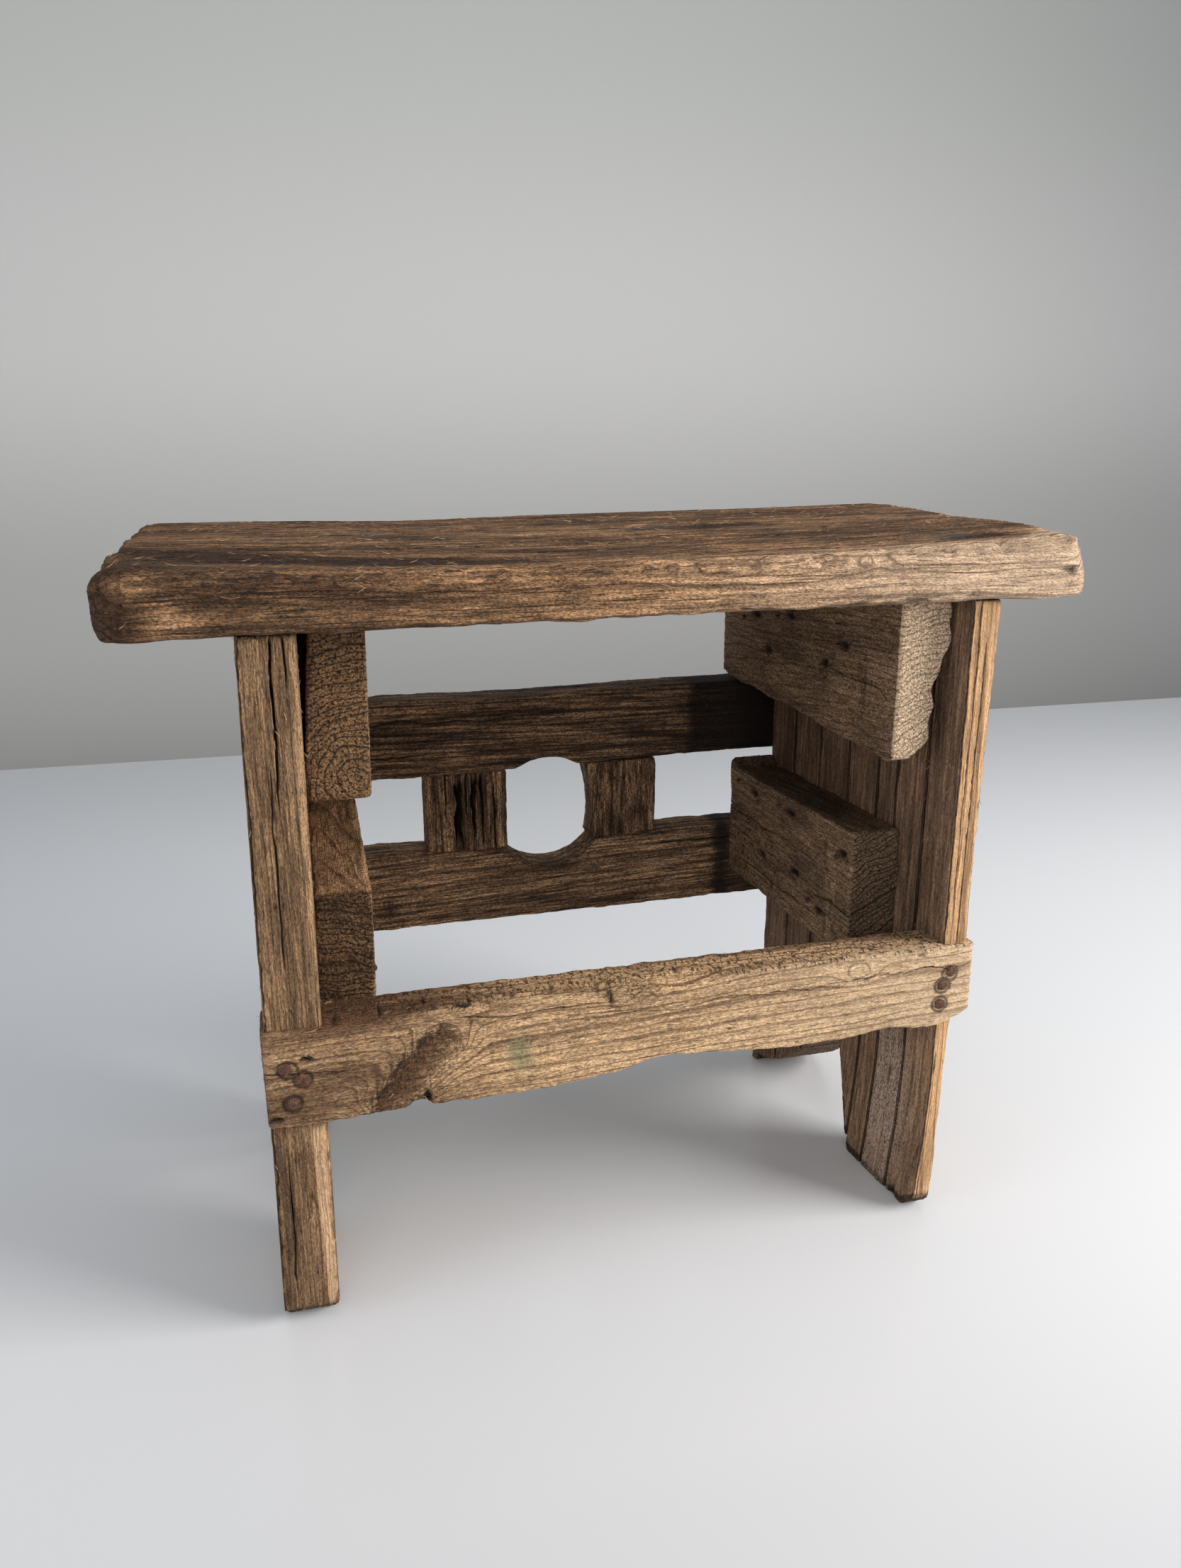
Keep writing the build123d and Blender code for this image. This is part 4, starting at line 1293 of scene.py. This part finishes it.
def drive(node, axis, sign, clenched=False):
    """Make one group of nails; their heads face the given way, and clenched points lie bent over."""
    places, aims, reaches, headed = [], [], [], []
    dice = np.random.default_rng(len(node) + axis)
    for cloud in islands(node):
        ends = cloud[:, axis] * sign
        top = cloud[ends > ends.max() - 0.8]
        tip = cloud[ends < ends.min() + 0.8]
        head, point = (top.max(0) + top.min(0)) / 2, (tip.max(0) + tip.min(0)) / 2
        away = point - head
        away[[i for i in range(3) if i != axis]] = 0
        tilt = dice.normal(size=3) * 0.09
        tilt[axis] = 0
        face = -away / np.linalg.norm(away)
        places.append(head - 0.9 * face)
        aims.append(face + tilt)
        reaches.append(-np.linalg.norm(away) * 0.97)
        headed.append(True)
        if clenched:
            bent = tip[np.argsort(tip[:, 1])]
            lie = bent[-1] - bent[0]
            places.append(bent[0] - 0.7 * face * sign)
            aims.append(lie / np.linalg.norm(lie))
            reaches.append(min(9.0, np.linalg.norm(lie)))
            headed.append(False)
    mesh = bpy.data.meshes.new(node + "_rusty")
    mesh.vertices.add(len(places))
    mesh.vertices.foreach_set("co", (np.array(places) * MM).ravel())
    store(mesh, "aim", np.array(aims), "FLOAT_VECTOR")
    store(mesh, "reach", np.array(reaches) * MM)
    flag = mesh.attributes.new("headed", "BOOLEAN", "POINT")
    flag.data.foreach_set("value", headed)
    nails = add_object(node + "_rusty", mesh)
    run_tree(nails, wire_nails, {"Head radius": 2.85 * MM, "Shank radius": 1.3 * MM, "Dents": 0.45 * MM,
                                 "Material": iron})
    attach(nails, "root")
    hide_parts(node)
    print(node, "nails", sum(headed), "faces", len(nails.data.polygons))


X_AXIS, Y_AXIS, Z_AXIS = 0, 1, 2
drive("stretcher_nails_left", Y_AXIS, -1)
drive("stretcher_nails_right", Y_AXIS, -1)
drive("rear_rail_nails", Y_AXIS, 1)
drive("rear_block_nails", Y_AXIS, 1)
drive("seat_nails", Z_AXIS, 1)
for side, sign in (("left", -1), ("right", 1)):
    for height in ("top", "low"):
        drive(f"cleat_nails_{side}_{height}", X_AXIS, sign, clenched=True)

# %% [markdown]
# ## Lifted fibres
# Dry old softwood sheds splinters: short pale fibres stand off the faces and make the edges look furry
# against the light. They are too many to place by hand, so a tree scatters them over a board, more of them
# along its edges, and lays each one roughly along the grain with its free end lifted.


# %% The fibre tree
def fibre_tree():
    """Scatters thin curved slivers over a board."""
    inputs = [
        ("Geometry", "NodeSocketGeometry", None),
        ("Grain way", "NodeSocketVector", (1.0, 0.0, 0.0)),
        ("Per square metre", "NodeSocketFloat", 9000.0),
        ("At the edges", "NodeSocketFloat", 30000.0),
        ("Length", "NodeSocketFloat", 5.0 * MM),
        ("Thickness", "NodeSocketFloat", 0.13 * MM),
        ("Seed", "NodeSocketInt", 1),
        ("Material", "NodeSocketMaterial", None),
    ]
    tree, given = new_tree("Lifted fibres", inputs)
    seed = given["Seed"]
    density = maths(tree, "MULTIPLY_ADD", named_value(tree, "fray"), given["At the edges"],
                    given["Per square metre"])
    roots = put(tree, "GeometryNodeDistributePointsOnFaces",
                named={"Mesh": given["Geometry"], "Density": density, "Seed": seed})
    normal = roots.node.outputs["Normal"]
    upright = put(tree, "FunctionNodeAlignRotationToVector", axis="Z", named={"Vector": normal})
    laid = put(tree, "FunctionNodeAlignRotationToVector", axis="X", pivot_axis="Z",
               named={"Rotation": upright, "Vector": given["Grain way"]})
    veer = put(tree, "FunctionNodeRandomValue", data_type="FLOAT", named={"Seed": seed}, out=1)
    side = put(tree, "ShaderNodeMapRange", veer, 0.0, 1.0, -0.55, 0.55)
    coin = maths(tree, "FRACT", times(tree, veer, 77.0))
    flip = times(tree, maths(tree, "GREATER_THAN", coin, 0.5), math.pi)
    swing = put(tree, "ShaderNodeCombineXYZ", 0.0, 0.0, maths(tree, "ADD", side, flip))
    swing = put(tree, "FunctionNodeEulerToRotation", swing)
    turned_way = put(tree, "FunctionNodeRotateRotation", laid, swing, rotation_space="LOCAL")
    arc = put(tree, "GeometryNodeCurveQuadraticBezier", 4,
              (0.0, 0.0, -0.02), (0.45, 0.02, 0.02), (1.0, 0.1, 0.22))
    along = put(tree, "GeometryNodeSplineParameter")
    thin = put(tree, "ShaderNodeMapRange", along, 0.0, 1.0, 1.0, 0.25)
    arc = put(tree, "GeometryNodeSetCurveRadius", named={"Curve": arc, "Radius": thin})
    share = maths(tree, "DIVIDE", given["Thickness"], given["Length"])
    ring = put(tree, "GeometryNodeCurvePrimitiveCircle", named={"Resolution": 3, "Radius": share})
    sliver = put(tree, "GeometryNodeCurveToMesh", arc, ring, named={"Scale": thin, "Fill Caps": True})
    draw = maths(tree, "FRACT", times(tree, veer, 13.0))
    stature = times(tree, given["Length"], put(tree, "ShaderNodeMapRange", draw, 0.0, 1.0, 0.35, 1.3))
    placed = put(tree, "GeometryNodeInstanceOnPoints", roots,
                 named={"Instance": sliver, "Rotation": turned_way, "Scale": stature})
    close_tree(tree, placed, given["Material"])
    return tree


def sliver_wood():
    """Pale dry fibre, a little brighter at some slivers than at others."""
    material, tree = new_material("Dry_fibre")
    place = put(tree, "ShaderNodeTexCoord", out=3)
    mix = put(tree, "ShaderNodeTexNoise", place, named={"Scale": 90.0, "Detail": 2.0})
    colour = mixed(tree, between(tree, mix, 0.38, 0.62), srgb(142, 108, 76), srgb(214, 178, 134))
    return painted(material, {"Base Color": colour, "Roughness": 0.8})


lifted = fibre_tree()
dry = sliver_wood()
print("fibre inputs", list(tree_inputs(lifted)))


# %% Fray the boards
def fray(board, way, count, edges, length, seed):
    """Put lifted fibres on one board, as a piece of their own."""
    source, wood = made_boards[board]
    fuzz = add_object(board + "_fibres", source.data.copy())
    run_tree(fuzz, lifted, {"Grain way": way, "Per square metre": count, "At the edges": edges,
                            "Length": length * MM, "Thickness": 0.14 * MM, "Seed": seed, "Material": dry})
    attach(fuzz, "root")
    print(fuzz.name, "faces", len(fuzz.data.polygons))


LENGTHWAYS, UPRIGHT, BACKWARDS = (1.0, 0.0, 0.0), (0.0, 0.0, 1.0), (0.0, 1.0, 0.0)
fray("seat_plank", LENGTHWAYS, 5500.0, 20000.0, 4.0, 1)
fray("front_stretcher", LENGTHWAYS, 9000.0, 40000.0, 2.6, 2)
fray("left_end_board_1", UPRIGHT, 7000.0, 90000.0, 2.6, 3)
fray("right_end_board_1", UPRIGHT, 3000.0, 60000.0, 2.4, 4)
for seed, board in enumerate(("cleat_right_top", "cleat_left_low", "cleat_left_top"), 5):
    fray(board, BACKWARDS, 4000.0, 40000.0, 2.0, seed)

# %% [markdown]
# ## Camera, table and light
# The stool stands on a pale glossy table in front of a grey wall. The light is a large soft window to the
# right of the sitter, with a weak even fill, so the left and the inside of the stool fall into shade.

# %% Camera
CAMERA_AT = Vector((-132.1, -540.7, 391.5)) * MM
YAW, PITCH, ROLL = math.radians(14.014), math.radians(17.653), math.radians(-0.417)
ahead = Vector((math.sin(YAW) * math.cos(PITCH), math.cos(YAW) * math.cos(PITCH), -math.sin(PITCH)))
aside = Vector((math.cos(YAW), -math.sin(YAW), 0.0))
above = aside.cross(ahead)
right_hand = aside * math.cos(ROLL) + above * math.sin(ROLL)
upward = above * math.cos(ROLL) - aside * math.sin(ROLL)
lens = bpy.data.cameras.new("Camera")
lens.lens, lens.sensor_width, lens.clip_start, lens.clip_end = 27.0, 36.0, 0.01, 50.0
camera = add_object("Camera", lens)
turned = Matrix((right_hand, upward, -ahead)).transposed().to_4x4()
camera.matrix_world = Matrix.Translation(CAMERA_AT) @ turned
bpy.context.scene.camera = camera
print("camera at", [round(v, 4) for v in camera.location])


# %% Table and wall
def flat_piece(name, corners, material):
    """One flat face on the stage."""
    mesh = bpy.data.meshes.new(name)
    mesh.from_pydata([Vector(c) for c in corners], [], [(0, 1, 2, 3)])
    mesh.materials.append(material)
    add_object(name, mesh)


def faded(name, places, values, axis, rough):
    """A stage material that changes softly along one axis, through colours at a few places."""
    material, tree = new_material(name)
    where = put(tree, "ShaderNodeSeparateXYZ", put(tree, "ShaderNodeTexCoord", out=3), out=axis)
    ramp = tree.nodes.new("ShaderNodeValToRGB")
    ramp.color_ramp.interpolation = "EASE"
    span = places[-1] - places[0]
    for number, (place, value) in enumerate(zip(places, values)):
        share = (place - places[0]) / span
        stop = ramp.color_ramp.elements[number] if number < 2 else ramp.color_ramp.elements.new(share)
        stop.position = share
        stop.color = (*value, 1)
    tree.links.new(put(tree, "ShaderNodeMapRange", where, places[0], places[-1], 0.0, 1.0), ramp.inputs[0])
    return painted(material, {"Base Color": ramp.outputs[0], "Roughness": rough})


# The table's colour is painted darker towards the front and the back than in the middle: painted light
# falloff.
gloss = faded("White_gloss", (-0.5, -0.1, 0.2, 0.9),
              ((0.53, 0.54, 0.56), (0.76, 0.77, 0.79), (0.72, 0.74, 0.77), (0.52, 0.54, 0.57)), Y_AXIS, 0.2)
# The wall's colour is painted lightest about half a metre up and darker below and above: painted light
# falloff.
plaster = faded("Grey_plaster", (-0.35, 0.1, 0.5, 1.1),
                ((0.36, 0.355, 0.34), (0.47, 0.465, 0.45), (0.635, 0.63, 0.615), (0.50, 0.515, 0.49)),
                Z_AXIS, 0.9)
flat_piece("table", [(-4.0, -4.0, 0), (4.0, -4.0, 0), (4.0, 0.705, 0), (-4.0, 1.025, 0)], gloss)
flat_piece("wall", [(-5, 1.6, -2), (5, 1.6, -2), (5, 1.6, 4), (-5, 1.6, 4)], plaster)
print("stage: table and wall")


# %% Lights
def soft_light(name, place, aim, size, power, colour=(1, 1, 1)):
    """A square soft light at a place, turned towards a point."""
    data = bpy.data.lights.new(name, "AREA")
    data.shape, data.size, data.energy, data.color = "SQUARE", size, power, colour
    thing = add_object(name, data)
    thing.location = place
    thing.rotation_euler = (Vector(aim) - Vector(place)).to_track_quat("-Z", "Y").to_euler()


soft_light("window", (1.25, -0.62, 0.72), (0.05, 0, 0.2), 0.8, 28, (1.0, 0.965, 0.92))
soft_light("room_front", (-0.5, -2.3, 1.3), (0, 0, 0.15), 1.8, 15, (1.0, 0.985, 0.96))
soft_light("room_left", (-1.9, -0.4, 0.5), (0, 0, 0.1), 1.2, 11, (0.97, 0.98, 1.0))
soft_light("ceiling", (0.1, 0.1, 1.9), (0, 0, 0), 1.8, 7, (0.95, 0.97, 1.0))
world = bpy.data.worlds.new("World")
world.use_nodes = True
sky = world.node_tree.nodes["Background"]
sky.inputs["Color"].default_value = (0.84, 0.88, 0.95, 1)
sky.inputs["Strength"].default_value = 0.34
bpy.context.scene.world = world
bpy.context.scene.view_settings.view_transform = "Standard"
print("lights", len(bpy.data.lights))
